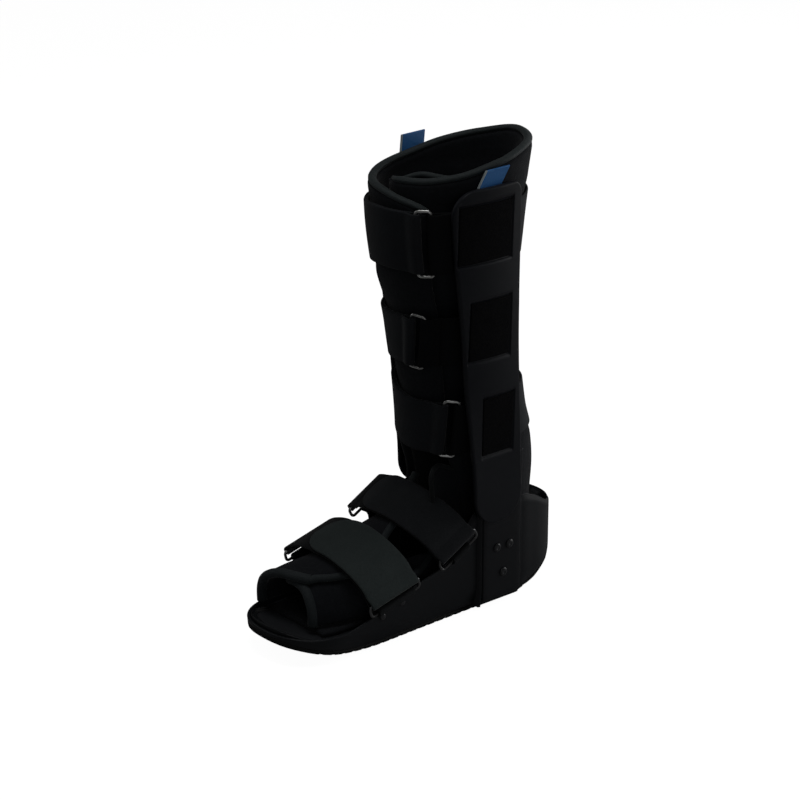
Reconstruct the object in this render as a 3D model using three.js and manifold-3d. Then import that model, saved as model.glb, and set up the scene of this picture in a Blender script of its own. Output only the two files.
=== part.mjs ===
// A tall medical walking boot: a rocker-soled plastic shell, two uprights and a padded liner held by straps.
// Millimetres, +Z up, toe towards -Y, the wearer's left towards +X, origin on the floor under the middle.
import * as THREE from "three";
import { mergeVertices } from "three/addons/utils/BufferGeometryUtils.js";
import Module from "manifold-3d";

const wasm = await Module();
wasm.setup();

// Driving dimensions
const SOLE_LENGTH = 319;
const SOLE_WIDTH = 104;
const LINER_HEIGHT = 419;
const CALF_WIDTH = 121;
const CALF_DEPTH = 150;
const CLEARANCE = 0.3;
const STRAP_CLEARANCE = 1;
const WIRE_CLEARANCE = 0.5;
const BEND_CLEARANCE = 1.6;

// Sole, shell and footbed
const OUTSOLE_THICKNESS = 5;
const RIB_PITCH = 11;
const RIB_GROOVE = 3.4;
const RIB_DEPTH = 1.8;
const SHELL_BASE = 3;
const SHELL_WALL = 3;
const FLOOR_HEIGHT = 16;
const TOE_LIFT = 20;
const TOE_SPRING_LENGTH = 97;
const HEEL_ROUND_LENGTH = 72;
const HEEL_ROUND_HEIGHT = 66;
const SOLE_FLARE = 8;
const FLARE_HEIGHT = 27;
const ANKLE_WALL_HEIGHT = 98;
const FOOTBED_THICKNESS = 4;
const FOOTBED_INSET = 1.2;

// Struts and uprights
const STRUT_WIDTH = 44;
const STRUT_THICKNESS = 3;
const STRUT_CENTRE = 68;
const STRUT_FOOT = 9;
const STRUT_TOP = 146;
const BOSS_BORDER = 4;
const STRUT_FACE = 49.7;
const RIB_WIDTH = 3;
const RIVET_RADIUS = 4;
const RIVET_HEIGHT = 1.6;
const UPRIGHT_THICKNESS = 4;
const UPRIGHT_FOOT = 85;
const UPRIGHT_DROP = 21;
const UPRIGHT_TOP = LINER_HEIGHT - UPRIGHT_DROP;
const UPRIGHT_SPREAD = 10.1725;
const UPRIGHT_LEAN = UPRIGHT_SPREAD / (UPRIGHT_TOP - UPRIGHT_FOOT);
const UPRIGHT_BEND = 165;
const UPRIGHT_STAGGER = 9.5;
const HOOK_RECESS = 1.8;
const HOOK_THICKNESS = 0.9;

// Liner
const LEG_PAD = 8;
const FOOT_PAD = 6;
const LINER_SOLE = 4;
const TONGUE_PAD = 5;
const TONGUE_DROP = 150;
const BINDING_WIDTH = 8.6;
const BINDING_HEIGHT = 4.8;

// Straps, webbing and wire
const STRAP_THICKNESS = 2;
const WEBBING_THICKNESS = 1.8;
const WIRE = 2.6;
const WIRE_CORNER = 3.2;
const RING_WIDTH = 16;
const RING_SLACK = 2.6;
const FOOT_RING_WIDTH = 12;
const TAB_SINK = 9;
const RIM_MARGIN = 4;
const TAB_RIVET_RADIUS = 3;
const TAB_RIVET_HEIGHT = 1.2;
const PULL_TAB_WIDTH = 27;
const PULL_TAB_RISE = 17;
const PULL_TAB_GRIP = 14;
const PULL_TAB_OFFSET = 4;
const PULL_TAB_SHEAR = 9;
const PULL_TAB_THICKNESS = 0.6;

// Whole-outline shares, read from the toe (-0.5) to the heel (0.5) along the sole's length
const SOLE_PLAN = [
  { along: -0.5, width: 1.0 },
  { along: -0.257, width: 1.0 },
  { along: -0.06, width: 0.975 },
  { along: 0.12, width: 0.955 },
  { along: 0.3, width: 0.95 },
  { along: 0.36, width: 0.88 },
  { along: 0.5, width: 0.76 },
];
const TOE_ROUND = 0.17;
const HEEL_ROUND = 0.15;
const TOE_POWER = 2.3;
const HEEL_POWER = 2;

// The shell's top edge: height as a share of the ankle wall, along the sole's length
const SHELL_RIM = [
  { along: -0.5, height: 0.285 },
  { along: -0.43, height: 0.27 },
  { along: -0.35, height: 0.265 },
  { along: -0.257, height: 0.325 },
  { along: -0.15, height: 0.43 },
  { along: -0.06, height: 0.51 },
  { along: 0.0, height: 0.565 },
  { along: 0.04, height: 0.63 },
  { along: 0.07, height: 0.74 },
  { along: 0.1, height: 0.9 },
  { along: 0.125, height: 0.985 },
  { along: 0.16, height: 1.0 },
  { along: 0.3, height: 1.0 },
  { along: 0.36, height: 0.93 },
  { along: 0.45, height: 0.765 },
  { along: 0.5, height: 0.735 },
];

// The leg's outer surface: height as a share of the liner's, centre as a share of the sole's length
const LEG = [
  { height: 0.035, centre: 0.222, width: 0.62, depth: 0.74 },
  { height: 0.12, centre: 0.222, width: 0.66, depth: 0.83 },
  { height: 0.26, centre: 0.222, width: 0.721, depth: 0.88 },
  { height: 0.345, centre: 0.218, width: 0.755, depth: 0.845 },
  { height: 0.42, centre: 0.204, width: 0.78, depth: 0.775 },
  { height: 0.5, centre: 0.19, width: 0.805, depth: 0.745 },
  { height: 0.615, centre: 0.163, width: 0.84, depth: 0.715 },
  { height: 0.68, centre: 0.156, width: 0.885, depth: 0.755 },
  { height: 0.74, centre: 0.148, width: 0.93, depth: 0.82 },
  { height: 0.835, centre: 0.146, width: 0.959, depth: 0.905 },
  { height: 1.0, centre: 0.157, width: 1.0, depth: 1.0 },
];

// The calf wrap, once round and a bit more: degrees from the front over +X, the back and -X to the front again.
// Depth is how far its outer face lies inside the leg's outer surface, as a share of one layer.
const WRAP_DEPTH = [
  { angle: -14, layers: 1.75 },
  { angle: 4, layers: 1.25 },
  { angle: 22, layers: 1.1 },
  { angle: 52, layers: 1.0 },
  { angle: 78, layers: 0.4 },
  { angle: 104, layers: 0 },
  { angle: 400, layers: 0 },
];
const WRAP_RIM = [
  { angle: -14, height: 0.946 },
  { angle: 8, height: 0.952 },
  { angle: 34, height: 0.955 },
  { angle: 62, height: 0.964 },
  { angle: 92, height: 0.985 },
  { angle: 130, height: 1.0 },
  { angle: 170, height: 1.0 },
  { angle: 211, height: 0.98 },
  { angle: 240, height: 0.963 },
  { angle: 271, height: 0.944 },
  { angle: 315, height: 0.936 },
  { angle: 350, height: 0.933 },
  { angle: 379, height: 0.918 },
  { angle: 391, height: 0.908 },
  { angle: 400, height: 0.895 },
];
// The wrap's lower edge: high over the instep, down to the liner's sole round the heel
const WRAP_HEM = [
  { angle: -14, height: 0.335 },
  { angle: 30, height: 0.325 },
  { angle: 52, height: 0.25 },
  { angle: 66, height: 0.06 },
  { angle: 74, height: 0 },
  { angle: 286, height: 0 },
  { angle: 294, height: 0.06 },
  { angle: 308, height: 0.25 },
  { angle: 330, height: 0.315 },
  { angle: 365, height: 0.328 },
  { angle: 400, height: 0.32 },
];
// Shares of the wrap's height for its rows, closest where the ankle narrows
const WRAP_ROWS = [0.12, 0.22, 0.29, 0.345, 0.395, 0.44, 0.49, 0.545, 0.59, 0.64, 0.74, 0.86];
const WRAP_START = -14;
const WRAP_END = 398;

// The foot's cross sections, along the sole's length: half width as a share of the sole's half width,
// crown height as a share of the ankle wall's, sideways shift as a share of the sole's width
const FOOT = [
  { along: -0.41, width: 0.74, crown: 0.68, shift: -0.09 },
  { along: -0.36, width: 0.8, crown: 0.7, shift: -0.06 },
  { along: -0.29, width: 0.85, crown: 0.735, shift: -0.02 },
  { along: -0.195, width: 0.87, crown: 0.798, shift: 0 },
  { along: -0.11, width: 0.85, crown: 0.88, shift: 0 },
  { along: 0.0, width: 0.8, crown: 1.005, shift: 0 },
  { along: 0.1, width: 0.72, crown: 1.2, shift: 0 },
];
const FOOT_POWER = 2.4;

// Each foot flap runs from the liner's sole up its wall and over the foot: front end and reach over the top
const FAR_FLAP_FRONT = [
  { turn: 0, along: -0.4 },
  { turn: 50, along: -0.41 },
  { turn: 80, along: -0.395 },
  { turn: 104, along: -0.335 },
];
const FAR_FLAP_REACH = [
  { along: -0.41, turn: 97 },
  { along: -0.33, turn: 104 },
  { along: -0.2, turn: 98 },
  { along: -0.11, turn: 90 },
  { along: 0.0, turn: 80 },
  { along: 0.075, turn: 58 },
];
const NEAR_FLAP_FRONT = [
  { turn: 0, along: -0.385 },
  { turn: 60, along: -0.4 },
  { turn: 100, along: -0.385 },
];
const NEAR_FLAP_REACH = [
  { along: -0.4, turn: 98 },
  { along: -0.25, turn: 98 },
  { along: -0.19, turn: 80 },
  { along: -0.13, turn: 30 },
  { along: -0.06, turn: 20 },
  { along: 0.0, turn: 26 },
  { along: 0.075, turn: 44 },
];
const FLAP_BACK = 0.078;

// Calf straps: height as a share of the liner's, the rise of the band at three angles, the ring's angle and its tilt
const CALF_STRAPS = [
  { height: 0.84, width: 54, rise: { far: -5, front: 0, back: -2 }, ring: 38, tilt: 0 },
  { height: 0.618, width: 46, rise: { far: -5, front: -2, back: 12 }, ring: 21, tilt: -0.16 },
  { height: 0.422, width: 47, rise: { far: 12, front: 1, back: 2 }, ring: 44, tilt: -0.12 },
];
const STRAP_START = 86;
const FOLD_END = 300;
const ANCHOR_END = 80;

// Foot straps: each lies in a plane square to its sloping ring bars. The crossing runs from the -X bar to the +X bar:
// across is a share of half the ring span, height a share of the ankle wall's.
const FOOT_STRAPS = [
  {
    name: "forefoot",
    width: 52,
    slope: 14,
    along: -0.187,
    tip: -0.2,
    tab: 0.8,
    rivets: [-0.22, 0.22],
    crossing: [
      { across: -1, height: 0.675 },
      { across: -0.8, height: 0.775 },
      { across: -0.4, height: 0.838 },
      { across: 0, height: 0.845 },
      { across: 0.4, height: 0.8 },
      { across: 0.78, height: 0.69 },
      { across: 1, height: 0.53 },
    ],
  },
  {
    name: "instep",
    width: 42,
    slope: 29,
    along: 0.034,
    tip: -0.42,
    tab: 0.5,
    rivets: [0.1],
    crossing: [
      { across: -1, height: 0.925 },
      { across: -0.8, height: 0.995 },
      { across: -0.4, height: 1.05 },
      { across: 0, height: 1.055 },
      { across: 0.4, height: 1.015 },
      { across: 0.78, height: 0.915 },
      { across: 1, height: 0.77 },
    ],
  },
];
const RING_SPAN = 113;
const STRAP_EASE = 16;

// Uprights: height as a share of the way from foot to top, edges along the sole's length
const UPRIGHT = [
  { height: 0.0, front: 0.1, back: 0.27 },
  { height: 0.12, front: 0.097, back: 0.266 },
  { height: 0.25, front: 0.085, back: 0.26 },
  { height: 0.4, front: 0.068, back: 0.25 },
  { height: 0.6, front: 0.045, back: 0.242 },
  { height: 0.81, front: 0.017, back: 0.238 },
  { height: 1.0, front: 0.0, back: 0.232 },
];
const UPRIGHT_FRONT_CORNER = 24;
const UPRIGHT_BACK_CORNER = 11;
// Each patch: how far its top is below the upright's, its height, and its front and back edges
const HOOK_PATCHES = [
  { down: 14, height: 51, front: 8, back: 63 },
  { down: 101, height: 53, front: 22, back: 65 },
  { down: 192, height: 53, front: 39, back: 72 },
];
const RIVETS = [
  { along: -6, height: 58 },
  { along: 8.5, height: 58 },
  { along: 1.5, height: 32.5 },
];

// Colours and finishes
const finish = (color, roughness, metalness = 0) => new THREE.MeshStandardMaterial({ color, roughness, metalness });
const SHELL_PLASTIC = finish(0x1c1e22, 0.42);
const UPRIGHT_PLASTIC = finish(0x1e2026, 0.5);
const RUBBER = finish(0x121315, 0.85);
const PAD_FABRIC = finish(0x111317, 0.9);
const BINDING_FABRIC = finish(0x24292b, 0.8);
const STRAP_FABRIC = finish(0x16181b, 0.85);
const FOOT_STRAP_FABRIC = finish(0x262b2c, 0.8);
const HOOK_TAPE = finish(0x08080a, 0.95);
const STEEL = finish(0xb9bcba, 0.3, 1);
const BLUE_TAPE = finish(0x1f4fa0, 0.6);

const SIDES = [
  { side: "left", sign: 1 },
  { side: "right", sign: -1 },
];
const degrees = (a) => (a * Math.PI) / 180;
const mix = (a, b, t) => a + (b - a) * t;
const vector = (x, y, z) => new THREE.Vector3(x, y, z);

// A table's column at a place, on a smooth curve that never overshoots its rows.
function read(table, key, column, at) {
  const last = table.length - 1;
  if (at <= table[0][key]) return table[0][column];
  if (at >= table[last][key]) return table[last][column];
  let i = 0;
  while (at > table[i + 1][key]) i += 1;
  const slope = (k) => (table[k + 1][column] - table[k][column]) / (table[k + 1][key] - table[k][key]);
  const tangent = (k) => {
    if (k === 0 || k === last) return slope(k === 0 ? 0 : last - 1);
    const [a, b] = [slope(k - 1), slope(k)];
    return a * b <= 0 ? 0 : (2 * a * b) / (a + b);
  };
  const step = table[i + 1][key] - table[i][key];
  const t = (at - table[i][key]) / step;
  const [p, q] = [table[i][column], table[i + 1][column]];
  const [m, n] = [tangent(i) * step, tangent(i + 1) * step];
  const t2 = t * t;
  const t3 = t2 * t;
  return (2 * t3 - 3 * t2 + 1) * p + (t3 - 2 * t2 + t) * m + (3 * t2 - 2 * t3) * q + (t3 - t2) * n;
}

// Solids from points

// A geometry from corner points and faces that share them.
function geometryOf(points, faces) {
  const g = new THREE.BufferGeometry();
  g.setAttribute("position", new THREE.Float32BufferAttribute(points.flatMap((p) => [p.x, p.y, p.z]), 3));
  g.setIndex(faces.flat());
  return g;
}

// A three.js geometry as a solid that can be joined and cut. One that comes out inside out is turned round.
function solid(geometry) {
  const g = geometry.clone();
  g.deleteAttribute("normal");
  g.deleteAttribute("uv");
  const merged = mergeVertices(g, 1e-4);
  const vertProperties = new Float32Array(merged.attributes.position.array);
  const triVerts = new Uint32Array(merged.index.array);
  const made = new wasm.Manifold(new wasm.Mesh({ numProp: 3, vertProperties, triVerts }));
  if (made.volume() >= 0) return made;
  for (let i = 0; i < triVerts.length; i += 3) [triVerts[i], triVerts[i + 1]] = [triVerts[i + 1], triVerts[i]];
  return new wasm.Manifold(new wasm.Mesh({ numProp: 3, vertProperties, triVerts }));
}

// A joined or cut solid back as a three.js geometry.
function geometryFrom(made) {
  const { numProp, vertProperties, triVerts } = made.getMesh();
  const points = [];
  for (let i = 0; i < vertProperties.length; i += numProp) points.push(vector(...vertProperties.slice(i, i + 3)));
  const g = geometryOf(points, [Array.from(triVerts)]);
  g.computeVertexNormals();
  return g;
}

// A closed solid between an outer and an inner grid of points. corner(i, j, side) gives a point; side is 1 outside.
function walled(columns, rows, corner) {
  const points = [];
  const index = (i, j, side) => (side * (rows + 1) + j) * (columns + 1) + i;
  for (const side of [0, 1])
    for (let j = 0; j <= rows; j += 1) for (let i = 0; i <= columns; i += 1) points.push(corner(i, j, side));
  const faces = [];
  const quad = (a, b, c, d) => faces.push([a, b, c, a, c, d]);
  for (let j = 0; j < rows; j += 1)
    for (let i = 0; i < columns; i += 1) {
      quad(index(i, j, 1), index(i + 1, j, 1), index(i + 1, j + 1, 1), index(i, j + 1, 1));
      quad(index(i, j, 0), index(i, j + 1, 0), index(i + 1, j + 1, 0), index(i + 1, j, 0));
    }
  for (let i = 0; i < columns; i += 1) {
    quad(index(i, 0, 0), index(i + 1, 0, 0), index(i + 1, 0, 1), index(i, 0, 1));
    quad(index(i, rows, 1), index(i + 1, rows, 1), index(i + 1, rows, 0), index(i, rows, 0));
  }
  for (let j = 0; j < rows; j += 1) {
    quad(index(0, j, 0), index(0, j, 1), index(0, j + 1, 1), index(0, j + 1, 0));
    quad(index(columns, j, 1), index(columns, j, 0), index(columns, j + 1, 0), index(columns, j + 1, 1));
  }
  return geometryFrom(solid(geometryOf(points, faces)));
}

// The unit normal of a surface, from its points a small step apart.
function normalAt(surface, u, v) {
  const e = 1e-3;
  const along = surface(Math.min(1, u + e), v).sub(surface(Math.max(0, u - e), v));
  const up = surface(u, Math.min(1, v + e)).sub(surface(u, Math.max(0, v - e)));
  return along.cross(up).normalize();
}

// A padded sheet: its middle surface over u and v from 0 to 1, thinner at its sewn edges.
function sheet(surface, thickness, uSteps, vSteps, edge = 0.55) {
  const even = (t) => Array.from({ length: t - 1 }, (_, k) => (k + 1) / t);
  const pad = (t) => [0, 0.012, ...(Array.isArray(t) ? t : even(t)), 0.988, 1];
  const [us, vs] = [pad(uSteps), pad(vSteps)];
  const thin = (list, k) => (k === 0 || k === list.length - 1 ? edge : 1);
  return walled(us.length - 1, vs.length - 1, (i, j, side) => {
    const half = (thickness / 2) * Math.min(thin(us, i), thin(vs, j)) * (side ? 1 : -1);
    return surface(us[i], vs[j]).addScaledVector(normalAt(surface, us[i], vs[j]), half);
  });
}

// A flat strip along a path: each place has its point, its widthways direction and its half width.
function strip(places, thickness) {
  const normal = places.map(({ widthways }, i) => {
    const ahead = places[Math.min(places.length - 1, i + 1)].point.clone();
    const along = ahead.sub(places[Math.max(0, i - 1)].point);
    return along.cross(widthways).normalize();
  });
  return walled(places.length - 1, 1, (i, j, side) =>
    places[i].point
      .clone()
      .addScaledVector(places[i].widthways, places[i].half * (j ? 1 : -1))
      .addScaledVector(normal[i], (thickness / 2) * (side ? 1 : -1)),
  );
}

// A closed loop of round wire: a rounded rectangle about a centre, in the plane of two directions.
function wireLoop(centre, across, along, width, length) {
  const [w, l] = [(width - WIRE) / 2 - WIRE_CORNER, (length - WIRE) / 2 - WIRE_CORNER];
  const corners = [
    [w, l],
    [-w, l],
    [-w, -l],
    [w, -l],
  ];
  const sides = 6;
  const arc = 2;
  const out = across.clone().cross(along).normalize();
  const rings = [];
  for (const [k, [a, b]] of corners.entries())
    for (let s = 0; s <= arc; s += 1) {
      const angle = degrees(90 * k + (90 * s) / arc);
      const radial = across.clone().multiplyScalar(Math.cos(angle)).addScaledVector(along, Math.sin(angle));
      const middle = centre.clone().addScaledVector(across, a).addScaledVector(along, b);
      rings.push({ middle: middle.addScaledVector(radial, WIRE_CORNER), radial });
    }
  return closedTube(
    rings.map(({ middle, radial }) =>
      Array.from({ length: sides }, (_, k) => {
        const t = (2 * Math.PI * k) / sides;
        const spot = middle.clone().addScaledVector(radial, (WIRE / 2) * Math.cos(t));
        return spot.addScaledVector(out, (WIRE / 2) * Math.sin(t));
      }),
    ),
    true,
  );
}

// A tube through rings of points, closed on itself or with flat ends.
function closedTube(rings, joined) {
  const sides = rings[0].length;
  const faces = [];
  const index = (r, k) => (r % rings.length) * sides + (k % sides);
  for (let r = 0; r < rings.length - (joined ? 0 : 1); r += 1)
    for (let k = 0; k < sides; k += 1) {
      const [a, b, c, d] = [index(r, k), index(r + 1, k), index(r + 1, k + 1), index(r, k + 1)];
      faces.push([a, b, c, a, c, d]);
    }
  if (!joined)
    for (let k = 1; k + 1 < sides; k += 1) {
      faces.push([index(0, 0), index(0, k), index(0, k + 1)]);
      faces.push([index(rings.length - 1, 0), index(rings.length - 1, k + 1), index(rings.length - 1, k)]);
    }
  return geometryFrom(solid(geometryOf(rings.flat(), faces)));
}

// A prism of an outline in the YZ plane, right across the boot.
function sideCutter(outline) {
  const shape = new THREE.Shape(outline.map(([y, z]) => new THREE.Vector2(y, z)));
  const g = new THREE.ExtrudeGeometry(shape, { depth: 2 * SOLE_WIDTH, bevelEnabled: false });
  g.applyMatrix4(new THREE.Matrix4().makeBasis(vector(0, 1, 0), vector(0, 0, 1), vector(1, 0, 0)));
  g.translate(-SOLE_WIDTH, 0, 0);
  return solid(g);
}

function box(low, high) {
  const g = new THREE.BoxGeometry(high[0] - low[0], high[1] - low[1], high[2] - low[2]);
  return g.translate((low[0] + high[0]) / 2, (low[1] + high[1]) / 2, (low[2] + high[2]) / 2);
}

// The sole's plan and rocker

// The sole's half width at a place along it, grown all round by some millimetres.
function halfWidth(y, grow) {
  const reach = SOLE_LENGTH / 2 + grow;
  const share = y / (2 * reach);
  const [round, power] = share < 0 ? [TOE_ROUND, TOE_POWER] : [HEEL_ROUND, HEEL_POWER];
  const into = Math.max(0, (Math.abs(share) - (0.5 - round)) / round);
  const end = (1 - Math.min(1, into) ** power) ** (1 / power);
  return (read(SOLE_PLAN, "along", "width", share) * (SOLE_WIDTH / 2) + grow) * end;
}

// The plan outline, grown by some millimetres, as points at equal turns so that the round ends stay smooth.
function planOutline(grow, steps = 24) {
  const reach = SOLE_LENGTH / 2 + grow;
  const half = Array.from({ length: steps + 1 }, (_, k) => -reach * Math.cos((Math.PI * k) / steps));
  const right = half.map((y) => [halfWidth(y, grow), y]);
  const left = half.slice(1, -1).reverse();
  return [...right, ...left.map((y) => [-halfWidth(y, grow), y])];
}

// A solid between plan outlines at several heights; each level has a height and how far it is grown.
function planLoft(levels) {
  const outlines = levels.map(({ grow }) => planOutline(grow));
  const n = outlines[0].length;
  const points = levels.flatMap(({ z }, k) => outlines[k].map(([x, y]) => vector(x, y, z)));
  const faces = [];
  for (let k = 0; k + 1 < levels.length; k += 1)
    for (let i = 0; i < n; i += 1) {
      const [a, b] = [k * n + i, k * n + ((i + 1) % n)];
      faces.push([a, b, b + n, a, b + n, a + n]);
    }
  const top = (levels.length - 1) * n;
  const half = n / 2;
  for (let i = 0; i < half; i += 1) {
    const [a, b] = [i, i + 1];
    const [c, d] = [(n - i - 1 + 1) % n, n - i - 1];
    if (a !== c) faces.push([a, c, b]);
    if (b !== d) faces.push([b, c, d]);
    if (a !== c) faces.push([top + a, top + b, top + c]);
    if (b !== d) faces.push([top + b, top + d, top + c]);
  }
  return solid(geometryOf(points, faces));
}

// How far the sole's underside rises off the floor: a toe spring and a rounded heel.
function rocker(y) {
  const springStart = TOE_SPRING_LENGTH - SOLE_LENGTH / 2;
  if (y < springStart) return TOE_LIFT * ((springStart - y) / TOE_SPRING_LENGTH) ** 2;
  const into = Math.min(1, Math.max(0, (y - (SOLE_LENGTH / 2 - HEEL_ROUND_LENGTH)) / HEEL_ROUND_LENGTH));
  return HEEL_ROUND_HEIGHT * (1 - Math.sqrt(1 - into ** 2));
}

// How far the shell's inner floor rises above its flat part, where the rocker comes up under it.
const lift = (y) => Math.max(0, rocker(y) + OUTSOLE_THICKNESS + CLEARANCE + SHELL_BASE - FLOOR_HEIGHT);

// The rocker line raised by some millimetres, toe to heel, closed far below or above.
function rockerCutter(raise, upwards) {
  const steps = 40;
  const end = SOLE_LENGTH / 2 + 2;
  const line = Array.from({ length: steps + 1 }, (_, k) => {
    const y = -end * Math.cos((Math.PI * k) / steps);
    return [y, rocker(Math.max(-SOLE_LENGTH / 2, Math.min(SOLE_LENGTH / 2 - 0.5, y))) + raise];
  });
  const far = upwards ? 3 * ANKLE_WALL_HEIGHT : -ANKLE_WALL_HEIGHT;
  return sideCutter([...line, [end, far], [-end, far]]);
}

const LINER_SOLE_BOTTOM = FLOOR_HEIGHT + CLEARANCE + FOOTBED_THICKNESS + 2 * CLEARANCE;
const LINER_SOLE_TOP = LINER_SOLE_BOTTOM + LINER_SOLE;

// The shell and sole's outer block, flared from the tread up to its walls.
function outerBlock() {
  return planLoft([
    { z: -1, grow: -SOLE_FLARE },
    { z: FLARE_HEIGHT * 0.3, grow: -SOLE_FLARE * 0.45 },
    { z: FLARE_HEIGHT * 0.7, grow: -SOLE_FLARE * 0.06 },
    { z: FLARE_HEIGHT, grow: 0 },
    { z: ANKLE_WALL_HEIGHT + 4, grow: 0 },
  ]);
}

function outsole() {
  let made = outerBlock().subtract(rockerCutter(0, false)).subtract(rockerCutter(OUTSOLE_THICKNESS, true));
  const grooves = Math.floor((0.8 * SOLE_LENGTH) / RIB_PITCH);
  for (let k = 0; k < grooves; k += 1) {
    const y = -0.45 * SOLE_LENGTH + k * RIB_PITCH;
    const z = rocker(y);
    const groove = box([-SOLE_WIDTH, -RIB_GROOVE / 2, -4 * RIB_DEPTH], [SOLE_WIDTH, RIB_GROOVE / 2, RIB_DEPTH]);
    const rise = rocker(y + 1) - rocker(y - 1);
    groove.rotateX(Math.atan2(rise, 2)).translate(0, y, z);
    made = made.subtract(solid(groove));
  }
  return geometryFrom(made);
}

// The top edge of the shell's wall as a cutter that takes away all above it.
function rimCutter() {
  const steps = 44;
  const end = SOLE_LENGTH / 2 + 2;
  const line = Array.from({ length: steps + 1 }, (_, k) => {
    const y = mix(-end, end, k / steps);
    return [y, ANKLE_WALL_HEIGHT * read(SHELL_RIM, "along", "height", y / SOLE_LENGTH)];
  });
  return sideCutter([...line, [end, 2 * ANKLE_WALL_HEIGHT], [-end, 2 * ANKLE_WALL_HEIGHT]]);
}

// The shell: the block without its inside, with a flat boss for each strut and a rib before it.
function soleShell() {
  const inside = planLoft([
    { z: FLOOR_HEIGHT - 20, grow: -SOLE_FLARE * 0.45 - SHELL_WALL },
    { z: FLARE_HEIGHT * 0.3, grow: -SOLE_FLARE * 0.45 - SHELL_WALL },
    { z: FLARE_HEIGHT * 0.7, grow: -SOLE_FLARE * 0.06 - SHELL_WALL },
    { z: FLARE_HEIGHT, grow: -SHELL_WALL },
    { z: ANKLE_WALL_HEIGHT + 8, grow: -SHELL_WALL },
  ]).subtract(rockerFloor());
  let made = outerBlock();
  const [front, back] = [STRUT_CENTRE - STRUT_WIDTH / 2, STRUT_CENTRE + STRUT_WIDTH / 2];
  for (const { sign } of SIDES) {
    const boss = box([0.6 * STRUT_FACE, front - BOSS_BORDER, 1], [STRUT_FACE, back + BOSS_BORDER, ANKLE_WALL_HEIGHT]);
    const ribLow = [0.6 * STRUT_FACE, front - BOSS_BORDER, 2];
    const ribHigh = [STRUT_FACE + STRUT_THICKNESS, front - BOSS_BORDER + RIB_WIDTH, ANKLE_WALL_HEIGHT];
    for (const piece of [boss, box(ribLow, ribHigh)]) made = made.add(solid(piece.scale(sign, 1, 1)));
  }
  return geometryFrom(
    made.subtract(inside).subtract(rockerCutter(OUTSOLE_THICKNESS + CLEARANCE, false)).subtract(rimCutter()),
  );
}

// What stays under the footbed: the block below the raised floor, following the rocker where it comes up.
function rockerFloor() {
  const steps = 60;
  const end = SOLE_LENGTH / 2 + 2;
  const line = Array.from({ length: steps + 1 }, (_, k) => {
    const y = mix(-end, end, k / steps);
    return [y, FLOOR_HEIGHT + lift(Math.max(-SOLE_LENGTH / 2, Math.min(SOLE_LENGTH / 2 - 0.5, y)))];
  });
  return sideCutter([...line, [end, -ANKLE_WALL_HEIGHT], [-end, -ANKLE_WALL_HEIGHT]]);
}

// A pad with the sole's plan, a little inside a given inset, that follows its inner floor.
function soledPad(low, thickness, inset, front, back) {
  const steps = 22;
  const edge = (y) => halfWidth(y, -inset);
  const surface = (i, j, side) => {
    const t = (1 - Math.cos((Math.PI * i) / steps)) / 2;
    const y = mix(front, back, t);
    const half = Math.max(2, edge(y));
    return vector(half * (j - 1), y, low + lift(y) + thickness * side);
  };
  return walled(steps, 2, (i, j, side) => surface(i, j, side));
}

function footbed() {
  const inset = SOLE_FLARE * 0.45 + SHELL_WALL + FOOTBED_INSET;
  const front = -SOLE_LENGTH / 2 + inset + CLEARANCE;
  const back = SOLE_LENGTH / 2 - 0.6 * HEEL_ROUND_LENGTH;
  return soledPad(FLOOR_HEIGHT + CLEARANCE, FOOTBED_THICKNESS, inset, front, back);
}

// The liner

// The leg's outer surface, in by some depth, at an angle and a height.
function leg(angle, z, depth) {
  const share = z / LINER_HEIGHT;
  const a = degrees(angle);
  const wide = (read(LEG, "height", "width", share) * CALF_WIDTH) / 2 - depth;
  const deep = (read(LEG, "height", "depth", share) * CALF_DEPTH) / 2 - depth;
  const y = read(LEG, "height", "centre", share) * SOLE_LENGTH - deep * Math.cos(a);
  return vector(wide * Math.sin(a), y, z);
}

// The calf wrap's middle surface: u goes round from the inner end to the outer end, v from hem to rim.
function wrapSurface(u, v) {
  const angle = mix(WRAP_START, WRAP_END, u);
  const bottom = LINER_SOLE_TOP + 3 * CLEARANCE;
  const low = bottom + read(WRAP_HEM, "angle", "height", angle) * (LINER_HEIGHT - bottom);
  const high = read(WRAP_RIM, "angle", "height", angle) * LINER_HEIGHT;
  const layers = read(WRAP_DEPTH, "angle", "layers", angle);
  return leg(angle, mix(low, high, v), layers * (LEG_PAD + CLEARANCE) + LEG_PAD / 2);
}

function calfWrap() {
  return sheet(wrapSurface, LEG_PAD, 36, WRAP_ROWS);
}

// The tongue pad inside the front of the wrap, under its inner end.
function tongueSurface(u, v) {
  const angle = mix(-2, 62, u);
  const top = read(WRAP_RIM, "angle", "height", angle) * LINER_HEIGHT - 2;
  const layers = read(WRAP_DEPTH, "angle", "layers", angle) + 1;
  const depth = layers * (LEG_PAD + CLEARANCE) + TONGUE_PAD / 2 + 3.2 * CLEARANCE + 2.5 * Math.sin(Math.PI * u);
  return leg(angle, mix(top - TONGUE_DROP, top, v), depth);
}

function tongue() {
  return sheet(tongueSurface, TONGUE_PAD, 5, 4);
}

// The liner's own sole, inside the walls of the foot.
function linerSole() {
  const front = -0.38 * SOLE_LENGTH;
  const heel = read(LEG, "height", "centre", 0) * SOLE_LENGTH + (read(LEG, "height", "depth", 0) * CALF_DEPTH) / 2;
  return soledPad(LINER_SOLE_BOTTOM, LINER_SOLE, SOLE_FLARE + SHELL_WALL + 2, front, heel - 2 * LINER_SOLE);
}

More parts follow.
